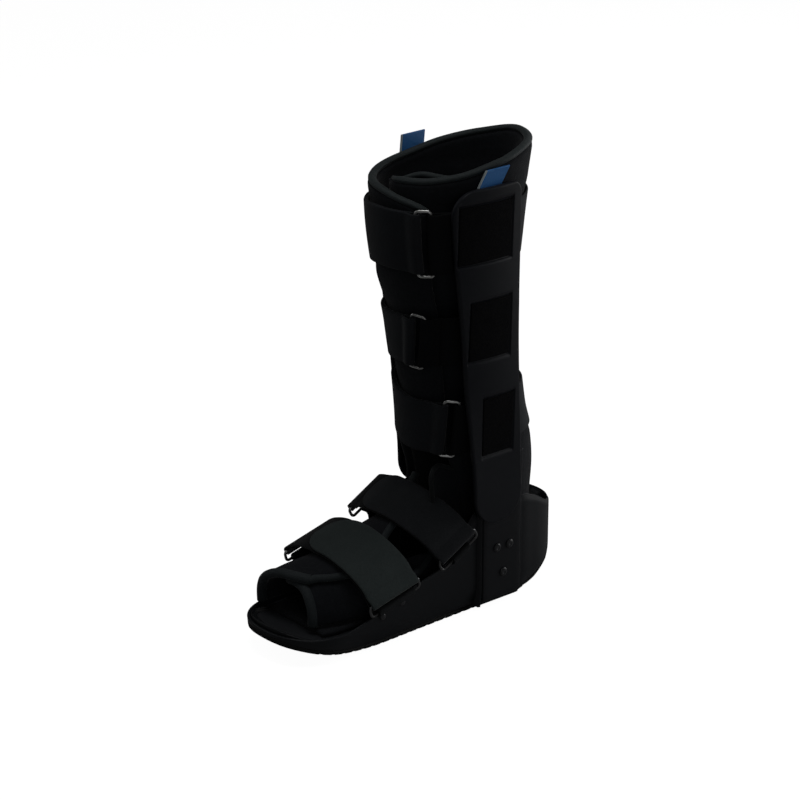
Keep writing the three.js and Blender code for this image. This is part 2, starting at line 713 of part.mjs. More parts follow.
// The foot's outer surface: turn 0 at the foot of the wall, 90 on the crown; side is +1 on the +X wall.
function foot(side, turn, y, depth) {
  const share = y / SOLE_LENGTH;
  const t = degrees(turn);
  const power = 2 / FOOT_POWER;
  const low = LINER_SOLE_TOP + CLEARANCE + lift(y);
  const wide = (read(FOOT, "along", "width", share) * SOLE_WIDTH) / 2 - depth;
  const tall = read(FOOT, "along", "crown", share) * ANKLE_WALL_HEIGHT - depth - low;
  const over = Math.sign(Math.cos(t)) * Math.abs(Math.cos(t)) ** power;
  const x = read(FOOT, "along", "shift", share) * SOLE_WIDTH + side * wide * over;
  return vector(x, y, low + tall * Math.sin(t) ** power);
}

// A foot flap's middle surface: u from front to back, v from the sole up and over.
function flapSurface(side, fronts, reaches, depth) {
  return (u, v) => {
    const last = reaches[reaches.length - 1];
    const rough = mix(fronts[0].along, FLAP_BACK, u);
    const turn = 1.5 + v * (read(reaches, "along", "turn", Math.min(rough, last.along)) - 1.5);
    const front = read(fronts, "turn", "along", turn);
    return foot(side, turn, mix(front, FLAP_BACK, u) * SOLE_LENGTH, depth);
  };
}

const farFlap = flapSurface(-1, FAR_FLAP_FRONT, FAR_FLAP_REACH, FOOT_PAD / 2);
const nearFlap = flapSurface(1, NEAR_FLAP_FRONT, NEAR_FLAP_REACH, FOOT_PAD * 1.5 + 2 * CLEARANCE);

// The padded binding round the calf wrap's rim: a soft oval tube that sits on the rim from end to end.
function rimBinding() {
  const [steps, sides] = [30, 6];
  const rings = Array.from({ length: steps + 1 }, (_, k) => {
    const u = mix(0.002, 0.998, k / steps);
    const middle = wrapSurface(u, 1).add(vector(0, 0, CLEARANCE + BINDING_HEIGHT / 2));
    const out = normalAt(wrapSurface, u, 1);
    out.setZ(0).normalize();
    return Array.from({ length: sides }, (_, n) => {
      const t = (2 * Math.PI * n) / sides;
      const wide = (Math.cos(t) * BINDING_WIDTH) / 2;
      return middle.clone().addScaledVector(out, wide).add(vector(0, 0, (Math.sin(t) * BINDING_HEIGHT) / 2));
    });
  });
  return closedTube(rings, false);
}

// Straps

// The height of a calf strap's middle line round the leg.
function strapHeight(strap, angle) {
  const { far, front, back } = strap.rise;
  const table = [
    { angle: 80, rise: mix(front, back, 0.45) },
    { angle: 180, rise: back },
    { angle: 315, rise: far },
    { angle: 362, rise: front },
    { angle: 400, rise: 0 },
  ];
  return strap.height * LINER_HEIGHT + read(table, "angle", "rise", angle);
}

// A strap on the leg: stations of angle and lift off the leg, swept over the strap's width.
function legStrip(strap, stations, thickness, width) {
  const radius = ringRadius(strap);
  const at = (station, share) => {
    const turn = station.angle < ANCHOR_END + 1 ? station.angle + 360 : station.angle;
    const near = Math.max(0, 1 - Math.abs(turn - 360 - strap.ring) / 60);
    const lean = (strap.tilt * share * width * near) / radius / degrees(1);
    const z = strapHeight(strap, turn) + share * width * (station.narrow ?? 1);
    return leg(station.angle - lean, z, -station.lift);
  };
  const count = stations.length - 1;
  const normal = stations.map((_, i) => {
    const ahead = at(stations[Math.min(count, i + 1)], 0).sub(at(stations[Math.max(0, i - 1)], 0));
    const up = at(stations[i], 0.5).sub(at(stations[i], -0.5));
    return ahead.cross(up).normalize();
  });
  return walled(count, 2, (i, j, side) =>
    at(stations[i], j / 2 - 0.5).addScaledVector(normal[i], (thickness / 2) * (side ? 1 : -1)),
  );
}

// Stations of a turn round a ring's bar: from the lower layer over the bar to the upper layer.
function barTurn(angle, lower, towards, radius, clear) {
  return Array.from({ length: 7 }, (_, k) => {
    const t = degrees(-90 + 30 * k);
    return {
      angle: angle + towards * (clear * Math.cos(t)) / radius * (180 / Math.PI),
      lift: lower + clear + clear * Math.sin(t),
    };
  });
}

const LOWER_LIFT = STRAP_CLEARANCE + STRAP_THICKNESS / 2;
const UPPER_LIFT = LOWER_LIFT + STRAP_THICKNESS + CLEARANCE;
const BAR_CLEAR = WIRE / 2 + BEND_CLEARANCE + STRAP_THICKNESS / 2;
const RING_LIFT = LOWER_LIFT + BAR_CLEAR;

// The leg's radius of curvature beside a strap's ring, for turning lengths into angles.
function ringRadius(strap) {
  const share = strap.height;
  const at = (angle) => leg(angle, share * LINER_HEIGHT, -RING_LIFT);
  return at(strap.ring + 1).distanceTo(at(strap.ring - 1)) / degrees(2);
}

// The angle of each long bar of a calf ring.
function ringBars(strap) {
  const half = ((RING_WIDTH - WIRE) / 2 / ringRadius(strap)) * (180 / Math.PI);
  return [strap.ring - half, strap.ring + half];
}

// A calf strap: from under the upright round the back, the far side and the front, through its ring and back.
function calfStrap(strap) {
  const [bar] = ringBars(strap);
  const radius = ringRadius(strap);
  const end = bar + 360;
  const sweep = (from, to, step, lift) => {
    const count = Math.max(1, Math.round(Math.abs(to - from) / step));
    return Array.from({ length: count + 1 }, (_, k) => ({ angle: mix(from, to, k / count), lift }));
  };
  const stations = [
    ...sweep(STRAP_START, end - 12, 10, LOWER_LIFT),
    ...barTurn(end, LOWER_LIFT, 1, radius, BAR_CLEAR),
    { angle: end - 12, lift: UPPER_LIFT },
    ...sweep(end - 24, FOLD_END + 4, 12, UPPER_LIFT),
    { angle: FOLD_END + 1, lift: UPPER_LIFT, narrow: 0.9 },
    { angle: FOLD_END - 2, lift: UPPER_LIFT, narrow: 0.7 },
  ];
  return legStrip(strap, stations, STRAP_THICKNESS, strap.width);
}

// The short webbing that holds a calf ring to the upright, looped round the ring's other bar.
function calfAnchor(strap) {
  const [, bar] = ringBars(strap);
  const radius = ringRadius(strap);
  const turn = barTurn(bar, LOWER_LIFT, -1, radius, BAR_CLEAR);
  const stations = [
    { angle: bar + 15, lift: UPPER_LIFT },
    { angle: bar + 9, lift: UPPER_LIFT },
    ...turn.reverse(),
    { angle: bar + 9, lift: LOWER_LIFT },
    { angle: mix(bar + 9, ANCHOR_END, 0.5), lift: LOWER_LIFT },
    { angle: ANCHOR_END, lift: LOWER_LIFT },
  ];
  return legStrip(strap, stations, STRAP_THICKNESS, strap.width);
}

// A calf ring lies through the two bar places, along the strap's own rise.
function calfRing(strap) {
  const [first, second] = ringBars(strap);
  const z = strapHeight(strap, strap.ring + 360);
  const at = (angle, height) => leg(angle, height, -RING_LIFT);
  const [a, b] = [at(first, z), at(second, z)];
  const centre = a.clone().add(b).multiplyScalar(0.5);
  const across = b.sub(a).normalize();
  const length = strap.width + 2 * WIRE + RING_SLACK;
  const up = at(strap.ring, z + 0.4 * length).sub(at(strap.ring, z - 0.4 * length)).normalize();
  const along = up.addScaledVector(across, -strap.tilt).normalize();
  const square = across.addScaledVector(along, -across.dot(along)).normalize();
  return wireLoop(centre, square, along, RING_WIDTH, length);
}

// A foot strap's crossing: its middle line from bar to bar, and the direction of its bars.
function footCrossing(strap) {
  const slope = degrees(strap.slope);
  const barHeight = strap.crossing[strap.crossing.length - 1].height * ANKLE_WALL_HEIGHT;
  const curve = new THREE.CatmullRomCurve3(
    strap.crossing.map(({ across, height }) => {
      const z = height * ANKLE_WALL_HEIGHT;
      return vector((across * RING_SPAN) / 2, strap.along * SOLE_LENGTH - (z - barHeight) * Math.tan(slope), z);
    }),
    false,
    "centripetal",
  );
  return { curve, widthways: vector(0, Math.cos(slope), Math.sin(slope)) };
}

// A foot strap: looped on the far bar, over the foot, round the near bar and back to a round tip.
function footStrap(strap) {
  const { curve, widthways } = footCrossing(strap);
  const length = curve.getLength();
  const half = strap.width / 2;
  const loop = WIRE / 2 + WIRE_CLEARANCE + STRAP_THICKNESS / 2;
  const frame = (t) => {
    const along = curve.getTangentAt(Math.min(1, Math.max(0, t)));
    return { along, normal: widthways.clone().cross(along).normalize(), point: curve.getPointAt(Math.min(1, Math.max(0, t))) };
  };
  const put = (t, up, width = half) => {
    const { point, normal } = frame(t);
    return { point: point.addScaledVector(normal, up), widthways, half: width };
  };
  const turn = (t, towards) =>
    Array.from({ length: 7 }, (_, k) => {
      const a = degrees(-90 + 30 * k);
      const { point, normal, along } = frame(t);
      point.addScaledVector(along, towards * loop * Math.cos(a));
      return { point: point.addScaledVector(normal, towards > 0 ? loop * Math.sin(a) : -loop * Math.sin(a)), widthways, half };
    });
  const share = (millimetres) => millimetres / length;
  const near = (t) => Math.max(0, 1 - (1 - t) * length / STRAP_EASE);
  const far = (t) => Math.max(0, 1 - (t * length) / STRAP_EASE);
  const layer = (t) => loop * (far(t) - near(t));
  const tipAt = (strap.tip + 1) / 2;
  const places = [];
  const under = STRAP_THICKNESS + CLEARANCE;
  places.push(put(share(0.9 * STRAP_EASE), layer(share(0.9 * STRAP_EASE)) - under));
  places.push(put(share(0.5 * STRAP_EASE), Math.min(layer(share(0.5 * STRAP_EASE)) - under, -0.4 * loop)));
  places.push(...turn(0, -1).map((place) => place));
  const steps = 14;
  for (let k = 1; k < steps; k += 1) places.push(put(k / steps, layer(k / steps)));
  places.push(...turn(1, 1));
  const back = 9;
  const over = (t) => Math.max(layer(t) + under, loop * near(t));
  for (let k = 1; k <= back; k += 1) places.push(put(mix(1, tipAt, k / back), over(mix(1, tipAt, k / back))));
  for (const [reach, width] of [
    [0.38, 0.92],
    [0.7, 0.7],
    [0.92, 0.36],
  ]) {
    const t = tipAt - share(reach * half);
    places.push(put(t, over(t), half * width));
  }
  return strip(places, STRAP_THICKNESS);
}

// The bars of a foot ring on one side: the strap's bar, the tab's bar a ring width further down, and their direction.
function footBars(strap, sign) {
  const { curve, widthways } = footCrossing(strap);
  const strapBar = curve.getPointAt(sign > 0 ? 1 : 0);
  const down = widthways.clone().cross(vector(-1, 0, 0)).normalize();
  if (down.z > 0) down.negate();
  const tabBar = strapBar.clone().addScaledVector(down, FOOT_RING_WIDTH - WIRE);
  return { strapBar, tabBar, down, widthways };
}

function footRing(strap, sign) {
  const { strapBar, tabBar, down, widthways } = footBars(strap, sign);
  const centre = strapBar.add(tabBar).multiplyScalar(0.5);
  return wireLoop(centre, down, widthways, FOOT_RING_WIDTH, strap.width + 2 * WIRE + RING_SLACK);
}

// The shell's top edge at a place along the sole.
const rimAt = (y) => ANKLE_WALL_HEIGHT * read(SHELL_RIM, "along", "height", y / SOLE_LENGTH);

// The webbing tab of a foot ring: up inside the shell's wall, out over its top and round the ring's lower bar.
function footTab(strap, sign) {
  const { tabBar, widthways } = footBars(strap, sign);
  const clear = WIRE / 2 + WIRE_CLEARANCE + WEBBING_THICKNESS / 2;
  const half = (strap.tab * strap.width) / 2;
  const inside = (y, z) => sign * (halfWidth(y, flareAt(z)) - SHELL_WALL - CLEARANCE - WEBBING_THICKNESS / 2);
  const onWall = (w, below) => {
    const spot = tabBar.clone().addScaledVector(widthways, w);
    const z = Math.min(rimAt(spot.y), spot.z) - below;
    return vector(inside(spot.y, z) - sign * CLEARANCE, spot.y, z);
  };
  const overRim = (w) => {
    const spot = tabBar.clone().addScaledVector(widthways, w);
    const top = Math.max(rimAt(spot.y - RIM_MARGIN), rimAt(spot.y), rimAt(spot.y + RIM_MARGIN));
    const z = Math.max(top + 2 * WEBBING_THICKNESS, spot.z - 0.5 * clear);
    return vector(inside(spot.y, z) + sign * 0.6, spot.y, z);
  };
  const round = (degreesRound) => (w) => {
    const a = degrees(degreesRound);
    const spot = tabBar.clone().addScaledVector(widthways, w);
    return spot.add(vector(sign * clear * Math.cos(a), 0, clear * Math.sin(a)));
  };
  const stations = [(w) => onWall(w, TAB_SINK), (w) => onWall(w, 0.5 * TAB_SINK), (w) => onWall(w, 2), overRim];
  for (const a of [-110, -75, -40, 0, 40, 75, 110, 150]) stations.push(round(a));
  const direction = (k) => {
    const ahead = stations[Math.min(stations.length - 1, k + 1)](0);
    return ahead.sub(stations[Math.max(0, k - 1)](0)).cross(widthways).normalize();
  };
  const normals = stations.map((_, k) => direction(k));
  return walled(stations.length - 1, 2, (i, j, side) =>
    stations[i](half * (j - 1)).addScaledVector(normals[i], (WEBBING_THICKNESS / 2) * (side ? 1 : -1)),
  );
}

// The rivets that hold a tab, on the outside of the shell's wall.
function tabRivet(strap, sign, share) {
  const { tabBar, widthways } = footBars(strap, sign);
  const spot = tabBar.clone().addScaledVector(widthways, share * strap.width);
  const z = Math.min(rimAt(spot.y), spot.z) - 0.55 * TAB_SINK;
  const x = halfWidth(spot.y, flareAt(z)) + 2 * CLEARANCE;
  return { x: sign * x, y: spot.y, z };
}

// How far the shell's outer block is grown at a height.
function flareAt(z) {
  const table = [
    { z: -1, grow: -SOLE_FLARE },
    { z: FLARE_HEIGHT * 0.3, grow: -SOLE_FLARE * 0.45 },
    { z: FLARE_HEIGHT * 0.7, grow: -SOLE_FLARE * 0.06 },
    { z: FLARE_HEIGHT, grow: 0 },
  ];
  let i = 0;
  while (i < table.length - 2 && z > table[i + 1].z) i += 1;
  const t = Math.min(1, (z - table[i].z) / (table[i + 1].z - table[i].z));
  return mix(table[i].grow, table[i + 1].grow, t);
}

// Struts, uprights and what is on them

// The strut's or upright's outward place: straight up past the shell, then leaning out with the calf.
const leanX = (z) => STRUT_FACE + CLEARANCE + UPRIGHT_LEAN * Math.max(0, z - UPRIGHT_FOOT);

function strut(sign) {
  const heights = [STRUT_FOOT, UPRIGHT_FOOT, STRUT_TOP];
  const made = walled(heights.length - 1, 1, (i, j, side) => {
    const x = leanX(heights[i]) + STRUT_THICKNESS * side;
    return vector(sign * x, STRUT_CENTRE + (STRUT_WIDTH / 2) * (j ? 1 : -1), heights[i]);
  });
  return made;
}

// The -X upright sits a little further back than the +X one.
const stagger = (sign) => (sign < 0 ? UPRIGHT_STAGGER : 0);

// The upright's inner face at a place along the sole and a height: leaning, and bent a little round the calf.
function uprightX(y, z) {
  const off = y - read(LEG, "height", "centre", z / LINER_HEIGHT) * SOLE_LENGTH;
  const bent = Math.min(1, Math.max(0, (z - STRUT_TOP) / (UPRIGHT_TOP - STRUT_TOP) / 0.3));
  return leanX(z) + STRUT_THICKNESS + CLEARANCE - (bent * off * off) / (2 * UPRIGHT_BEND);
}

// A piece of the upright's curved slab between two depths from its inner face, over a rectangle.
function uprightSlab(sign, low, high, front, back, from, to, columns = 2, rows = 2) {
  return walled(columns, rows, (i, j, side) => {
    const z = mix(low, high, i / columns);
    const y = mix(front(z), back(z), j / rows) + stagger(sign);
    return vector(sign * (uprightX(y, z) + (side ? to : from)), y, z);
  });
}

function uprightEdge(z, column) {
  const share = (z - UPRIGHT_FOOT) / (UPRIGHT_TOP - UPRIGHT_FOOT);
  return read(UPRIGHT, "height", column, share) * SOLE_LENGTH;
}

// The upright: a slab with a round foot and rounded shoulders, and a recess for each hook patch.
function upright(sign) {
  const footRadius = (uprightEdge(UPRIGHT_FOOT, "back") - uprightEdge(UPRIGHT_FOOT, "front")) / 2;
  const round = (distance, radius) => {
    const into = Math.max(0, 1 - distance / radius);
    return radius * (1 - Math.sqrt(Math.max(0, 1 - into * into)));
  };
  const trim = (z, corner) => round(z - UPRIGHT_FOOT, footRadius) + round(UPRIGHT_TOP - z, corner);
  const front = (z) => uprightEdge(z, "front") + Math.min(footRadius - 3, trim(z, UPRIGHT_FRONT_CORNER));
  const back = (z) => uprightEdge(z, "back") - Math.min(footRadius - 3, trim(z, UPRIGHT_BACK_CORNER));
  const heights = [];
  for (let k = 0; k <= 6; k += 1) heights.push(UPRIGHT_FOOT + footRadius * (1 - Math.cos(degrees(15 * k))));
  for (let k = 1; k < 7; k += 1) heights.push(mix(UPRIGHT_FOOT + footRadius, UPRIGHT_TOP - UPRIGHT_FRONT_CORNER, k / 7));
  for (let k = 6; k >= 0; k -= 1) heights.push(UPRIGHT_TOP - UPRIGHT_FRONT_CORNER * (1 - Math.cos(degrees(15 * k))));
  const made = walled(heights.length - 1, 4, (i, j, side) => {
    const z = heights[i];
    const y = mix(front(z), back(z), j / 4) + stagger(sign);
    return vector(sign * (uprightX(y, z) + UPRIGHT_THICKNESS * side), y, z);
  });
  let body = solid(made);
  for (const patch of HOOK_PATCHES) {
    const slab = uprightSlab(
      sign,
      UPRIGHT_TOP - patch.down - patch.height - 1,
      UPRIGHT_TOP - patch.down + 1,
      () => patch.front - 1,
      () => patch.back + 1,
      UPRIGHT_THICKNESS - HOOK_RECESS,
      UPRIGHT_THICKNESS + 3,
    );
    body = body.subtract(solid(slab));
  }
  return geometryFrom(body);
}

function hookPatch(sign, patch) {
  const base = UPRIGHT_THICKNESS - HOOK_RECESS + CLEARANCE;
  return uprightSlab(
    sign,
    UPRIGHT_TOP - patch.down - patch.height,
    UPRIGHT_TOP - patch.down,
    () => patch.front,
    () => patch.back,
    base,
    base + HOOK_THICKNESS,
  );
}

// A low domed rivet head that stands out along X.
function rivetHead(radius, height) {
  const profile = [
    [0, 0],
    [radius, 0],
    [radius * 0.92, height * 0.6],
    [radius * 0.5, height * 0.95],
    [0, height],
  ];
  const g = new THREE.LatheGeometry(profile.map(([r, h]) => new THREE.Vector2(r, h)), 8);
  return geometryFrom(solid(g.rotateZ(-Math.PI / 2)));
}

// A blue pull tab: tape folded into a loop, held between the liner and the upright.
function pullTab(sign) {
  const foot = UPRIGHT_TOP - PULL_TAB_GRIP;
  const top = UPRIGHT_TOP + PULL_TAB_RISE;
  const middle = (uprightEdge(UPRIGHT_TOP, "front") + uprightEdge(UPRIGHT_TOP, "back")) / 2 + stagger(sign);
  const centre = (z) => middle + PULL_TAB_OFFSET + (PULL_TAB_SHEAR * Math.max(0, z - UPRIGHT_TOP)) / PULL_TAB_RISE;
  const loop = PULL_TAB_THICKNESS;
  const onLeg = (z) => leg(90, Math.min(z, UPRIGHT_TOP), 0).x + CLEARANCE + loop + PULL_TAB_THICKNESS / 2;
  const out = (z) => onLeg(z) + 0.12 * Math.max(0, z - UPRIGHT_TOP);
  const places = [];
  const put = (dx, z) =>
    places.push({ point: vector(sign * (out(z) + dx), centre(z), z), widthways: vector(0, 1, 0), half: PULL_TAB_WIDTH / 2 });
  put(-loop, foot);
  put(-loop, UPRIGHT_TOP + 2);
  for (let k = 0; k <= 6; k += 1) {
    const a = degrees(180 - 30 * k);
    put(loop * Math.cos(a), top - loop + loop * Math.sin(a));
  }
  put(loop, UPRIGHT_TOP + 2);
  put(loop, foot);
  return strip(places, PULL_TAB_THICKNESS);
}

// Assembly
const boot = new THREE.Group();

function place(name, geometry, material) {
  const mesh = new THREE.Mesh(geometry, material);
  mesh.name = name;
  boot.add(mesh);
  return mesh;
}

place("outsole", outsole(), RUBBER);
place("sole_shell", soleShell(), SHELL_PLASTIC);
place("footbed", footbed(), RUBBER);

for (const { side, sign } of SIDES) {
  place(`strut_${side}`, strut(sign), SHELL_PLASTIC);
  for (const [k, { along, height }] of RIVETS.entries()) {
    const rivet = place(`rivet_${side}_${k + 1}`, rivetHead(RIVET_RADIUS, RIVET_HEIGHT), SHELL_PLASTIC);
    rivet.position.set(sign * (leanX(0) + STRUT_THICKNESS + CLEARANCE), STRUT_CENTRE + along, height);
    if (sign < 0) rivet.rotation.z = Math.PI;
  }
  place(`upright_${side}`, upright(sign), UPRIGHT_PLASTIC);
  for (const [k, patch] of HOOK_PATCHES.entries()) place(`hook_patch_${side}_${k + 1}`, hookPatch(sign, patch), HOOK_TAPE);
  place(`pull_tab_${side}`, pullTab(sign), BLUE_TAPE);
}

place("liner_sole", linerSole(), PAD_FABRIC);
place("liner_calf_wrap", calfWrap(), PAD_FABRIC);
place("liner_rim_binding", rimBinding(), BINDING_FABRIC);
place("liner_tongue", tongue(), PAD_FABRIC);
place("liner_flap_right", sheet(farFlap, FOOT_PAD, 8, 7), PAD_FABRIC);
place("liner_flap_left", sheet(nearFlap, FOOT_PAD, 9, 6), PAD_FABRIC);

for (const [k, strap] of CALF_STRAPS.entries()) {
  place(`calf_strap_${k + 1}`, calfStrap(strap), STRAP_FABRIC);
  place(`calf_anchor_${k + 1}`, calfAnchor(strap), STRAP_FABRIC);
  place(`calf_ring_${k + 1}`, calfRing(strap), STEEL);
}

for (const strap of FOOT_STRAPS) {
  place(`${strap.name}_strap`, footStrap(strap), FOOT_STRAP_FABRIC);
  for (const { side, sign } of SIDES) {
    place(`${strap.name}_ring_${side}`, footRing(strap, sign), STEEL);
    place(`${strap.name}_tab_${side}`, footTab(strap, sign), STRAP_FABRIC);
    for (const [k, share] of strap.rivets.entries()) {
      const head = rivetHead(TAB_RIVET_RADIUS, TAB_RIVET_HEIGHT);
      const rivet = place(`${strap.name}_tab_rivet_${side}_${k + 1}`, head, SHELL_PLASTIC);
      const { x, y, z } = tabRivet(strap, sign, share);
      rivet.position.set(x, y, z);
      if (sign < 0) rivet.rotation.z = Math.PI;
    }
  }
}

export default boot;
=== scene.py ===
import bmesh
import bpy
import numpy as np
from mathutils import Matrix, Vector


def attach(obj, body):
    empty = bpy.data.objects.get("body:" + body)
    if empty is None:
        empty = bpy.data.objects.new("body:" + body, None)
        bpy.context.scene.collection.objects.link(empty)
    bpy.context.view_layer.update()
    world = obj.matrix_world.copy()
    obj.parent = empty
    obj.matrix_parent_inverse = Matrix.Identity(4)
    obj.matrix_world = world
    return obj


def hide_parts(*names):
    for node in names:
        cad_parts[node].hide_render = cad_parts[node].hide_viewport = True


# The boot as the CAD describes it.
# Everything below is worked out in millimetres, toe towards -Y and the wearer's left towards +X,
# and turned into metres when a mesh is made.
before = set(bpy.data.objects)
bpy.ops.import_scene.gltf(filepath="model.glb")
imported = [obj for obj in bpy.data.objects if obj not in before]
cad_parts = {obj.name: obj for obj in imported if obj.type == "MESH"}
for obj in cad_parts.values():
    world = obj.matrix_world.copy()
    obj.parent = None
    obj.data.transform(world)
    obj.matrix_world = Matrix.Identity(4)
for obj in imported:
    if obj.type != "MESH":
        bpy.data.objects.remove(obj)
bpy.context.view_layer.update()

# Photographer's table
# A white sweep, a soft light over each shoulder and one overhead, two more behind the heel for its rim,
# and a long lens two and a half metres away, a little above the boot's rim.
azimuth, elevation, distance = np.radians(50), np.radians(21.7), 2.5
level_way, straight_up = np.array([np.sin(azimuth), -np.cos(azimuth), 0]), np.array([0, 0, 1])
behind = level_way * np.cos(elevation) + straight_up * np.sin(elevation)
upwards = straight_up * np.cos(elevation) - level_way * np.sin(elevation)
aim = np.array([0, -0.0053, 0.210]) - 0.0103 * upwards
lens = bpy.data.cameras.new("long_lens")
lens.sensor_width = 36
lens.lens = 130.5
camera = bpy.data.objects.new("camera", lens)
camera.location = Vector(aim + distance * behind)
camera.rotation_euler = Vector(-behind).to_track_quat("-Z", "Y").to_euler()
bpy.context.collection.objects.link(camera)
bpy.context.scene.camera = camera

bpy.context.scene.view_settings.view_transform = "Standard"
world = bpy.data.worlds.new("white_room")
world.use_nodes = True
room = world.node_tree
seen = room.nodes.new("ShaderNodeLightPath")
level = room.nodes.new("ShaderNodeMapRange")
level.inputs["To Min"].default_value = 0.02
level.inputs["To Max"].default_value = 1.0
room.nodes["Background"].inputs["Color"].default_value = (1, 1, 1, 1)
room.links.new(seen.outputs["Is Camera Ray"], level.inputs["Value"])
room.links.new(level.outputs["Result"], room.nodes["Background"].inputs["Strength"])
bpy.context.scene.world = world

for name, place, size, power in [
    ("left_window", (-1.5, -0.9, 1.2), 1.0, 1.6),
    ("right_window", (1.9, -0.9, 0.9), 0.9, 1.5),
    ("heel_rim", (0.85, 1.75, 0.55), 0.8, 5.0),
    ("overhead", (0.1, -0.1, 2.0), 0.9, 4.6),
    ("back_panel", (0.2, 1.9, 0.3), 1.6, 7.0),
]:
    light = bpy.data.lights.new(name, "AREA")
    light.shape = "SQUARE"
    light.size = size
    light.energy = power
    lamp = bpy.data.objects.new(name, light)
    lamp.location = place
    lamp.visible_camera = False
    lamp.rotation_euler = (Vector((0, 0, 0.2)) - Vector(place)).to_track_quat("-Z", "Y").to_euler()
    bpy.context.collection.objects.link(lamp)

sweep_mesh = bpy.data.meshes.new("sweep")
sweep_mesh.from_pydata([(-6, -6, 0), (6, -6, 0), (6, 6, 0), (-6, 6, 0)], [], [(0, 1, 2, 3)])
sweep = bpy.data.objects.new("sweep", sweep_mesh)
bpy.context.collection.objects.link(sweep)
sweep_paper = bpy.data.materials.new("white_paper")
sweep_paper.use_nodes = True
sweep_paper.node_tree.nodes["Principled BSDF"].inputs["Base Color"].default_value = (0.4, 0.4, 0.4, 1)
sweep_paper.node_tree.nodes["Principled BSDF"].inputs["Roughness"].default_value = 0.9
paper_glow = sweep_paper.node_tree.nodes.new("ShaderNodeLightPath")
sweep_paper.node_tree.nodes["Principled BSDF"].inputs["Emission Color"].default_value = (1, 1, 1, 1)
glow_level = sweep_paper.node_tree.nodes.new("ShaderNodeMath")
glow_level.operation = "MULTIPLY"
glow_level.inputs[1].default_value = 0.965
sweep_paper.node_tree.links.new(paper_glow.outputs["Is Camera Ray"], glow_level.inputs[0])
sweep_paper.node_tree.links.new(
    glow_level.outputs[0], sweep_paper.node_tree.nodes["Principled BSDF"].inputs["Emission Strength"])
sweep_mesh.materials.append(sweep_paper)

# Moulded sole shell
# One injection moulding in charcoal polypropylene: a rocker base, a toe lip, low side walls that step up
# to the ankle, and a heel counter, with a flat boss on each side where the strut is riveted on.
sole_length, sole_width, ankle_wall = 319.0, 104.0, 98.0
shell_wall, floor_height, shell_base = 3.0, 16.0, 3.0
outsole_thick, piece_gap = 5.0, 0.3
strut_face, strut_centre, strut_width = 49.7, 68.0, 44.0


def curve(places, values, at):
    """A smooth curve through a table that never overshoots: cubic pieces whose slope at each row is the
    harmonic mean of its neighbours' slopes, or none where they disagree in sign."""
    places, values, at = np.asarray(places, float), np.asarray(values, float), np.asarray(at, float)
    step = np.diff(places)
    slope = np.diff(values) / step
    left, right = slope[:-1], slope[1:]
    product = left * right
    total = np.where(product > 0, left + right, 1)
    inner = np.where(product > 0, 2 * product / total, 0)
    tangent = np.concatenate([slope[:1], inner, slope[-1:]])
    at = np.clip(at, places[0], places[-1])
    k = np.clip(np.searchsorted(places, at, side="right") - 1, 0, len(step) - 1)
    t = (at - places[k]) / step[k]
    first, second = values[k], values[k + 1]
    lead, trail = tangent[k] * step[k], tangent[k + 1] * step[k]
    return ((2 * t**3 - 3 * t**2 + 1) * first + (t**3 - 2 * t**2 + t) * lead
            + (3 * t**2 - 2 * t**3) * second + (t**3 - t**2) * trail)


def ease(low, high, at):
    """0 below low, 1 above high, and the cubic 3t^2 - 2t^3 between."""
    t = np.clip((np.asarray(at, float) - low) / (high - low), 0, 1)
    return t * t * (3 - 2 * t)


def half_width(y, grow):
    """The sole's half width at y, grown all round: a table of widths times a superellipse at each end."""
    reach = sole_length / 2 + grow
    share = y / (2 * reach)
    toe = share < 0
    end = np.where(toe, 0.17, 0.15)
    power = np.where(toe, 2.3, 2.0)
    into = np.clip((np.abs(share) - (0.5 - end)) / end, 0, 1)
    plan = curve([-0.5, -0.257, -0.06, 0.12, 0.3, 0.36, 0.5], [1, 1, 0.975, 0.955, 0.95, 0.88, 0.76], share)
    return (plan * sole_width / 2 + grow) * (1 - into**power) ** (1 / power)


def flare(z):
    """How far the outside is drawn in at a height: 8 mm at the tread, nothing from 27 mm up."""
    return np.interp(z, [-1, 8.1, 18.9, 27], [-8, -3.6, -0.48, 0])


def rocker(y):
    """The underside's height: a parabola up to the toe, an ellipse up round the heel."""
    toe = 20 * (np.clip((-62.5 - y) / 97, 0, None)) ** 2
    heel = 66 * (1 - np.sqrt(1 - np.clip((y - 87.5) / 72, 0, 1) ** 2))
    return toe + heel


def inner_floor(y):
    """The shell's inner floor: flat, and lifted where the rocker comes up under it."""
    return np.maximum(floor_height, rocker(np.clip(y, -159.5, 159)) + outsole_thick + piece_gap + shell_base)


def rim_height(y):
    """The height of the shell's top edge along the sole."""
    table = np.array([
        (-0.5, 0.285), (-0.43, 0.27), (-0.35, 0.265), (-0.257, 0.325), (-0.15, 0.43), (-0.06, 0.51),
        (0, 0.565), (0.04, 0.63), (0.07, 0.74), (0.1, 0.9), (0.125, 0.985), (0.16, 1), (0.3, 1),
        (0.36, 0.93), (0.45, 0.765), (0.5, 0.735)])
    return ankle_wall * curve(table[:, 0], table[:, 1], y / sole_length)


def plan_ring(turn, grow):
    """The outline at each turn from the toe round +X: y runs as minus a cosine, x is the half width there."""
    y = -(sole_length / 2 + grow) * np.cos(turn)
    return np.sign(np.sin(turn)) * half_width(y, grow), y


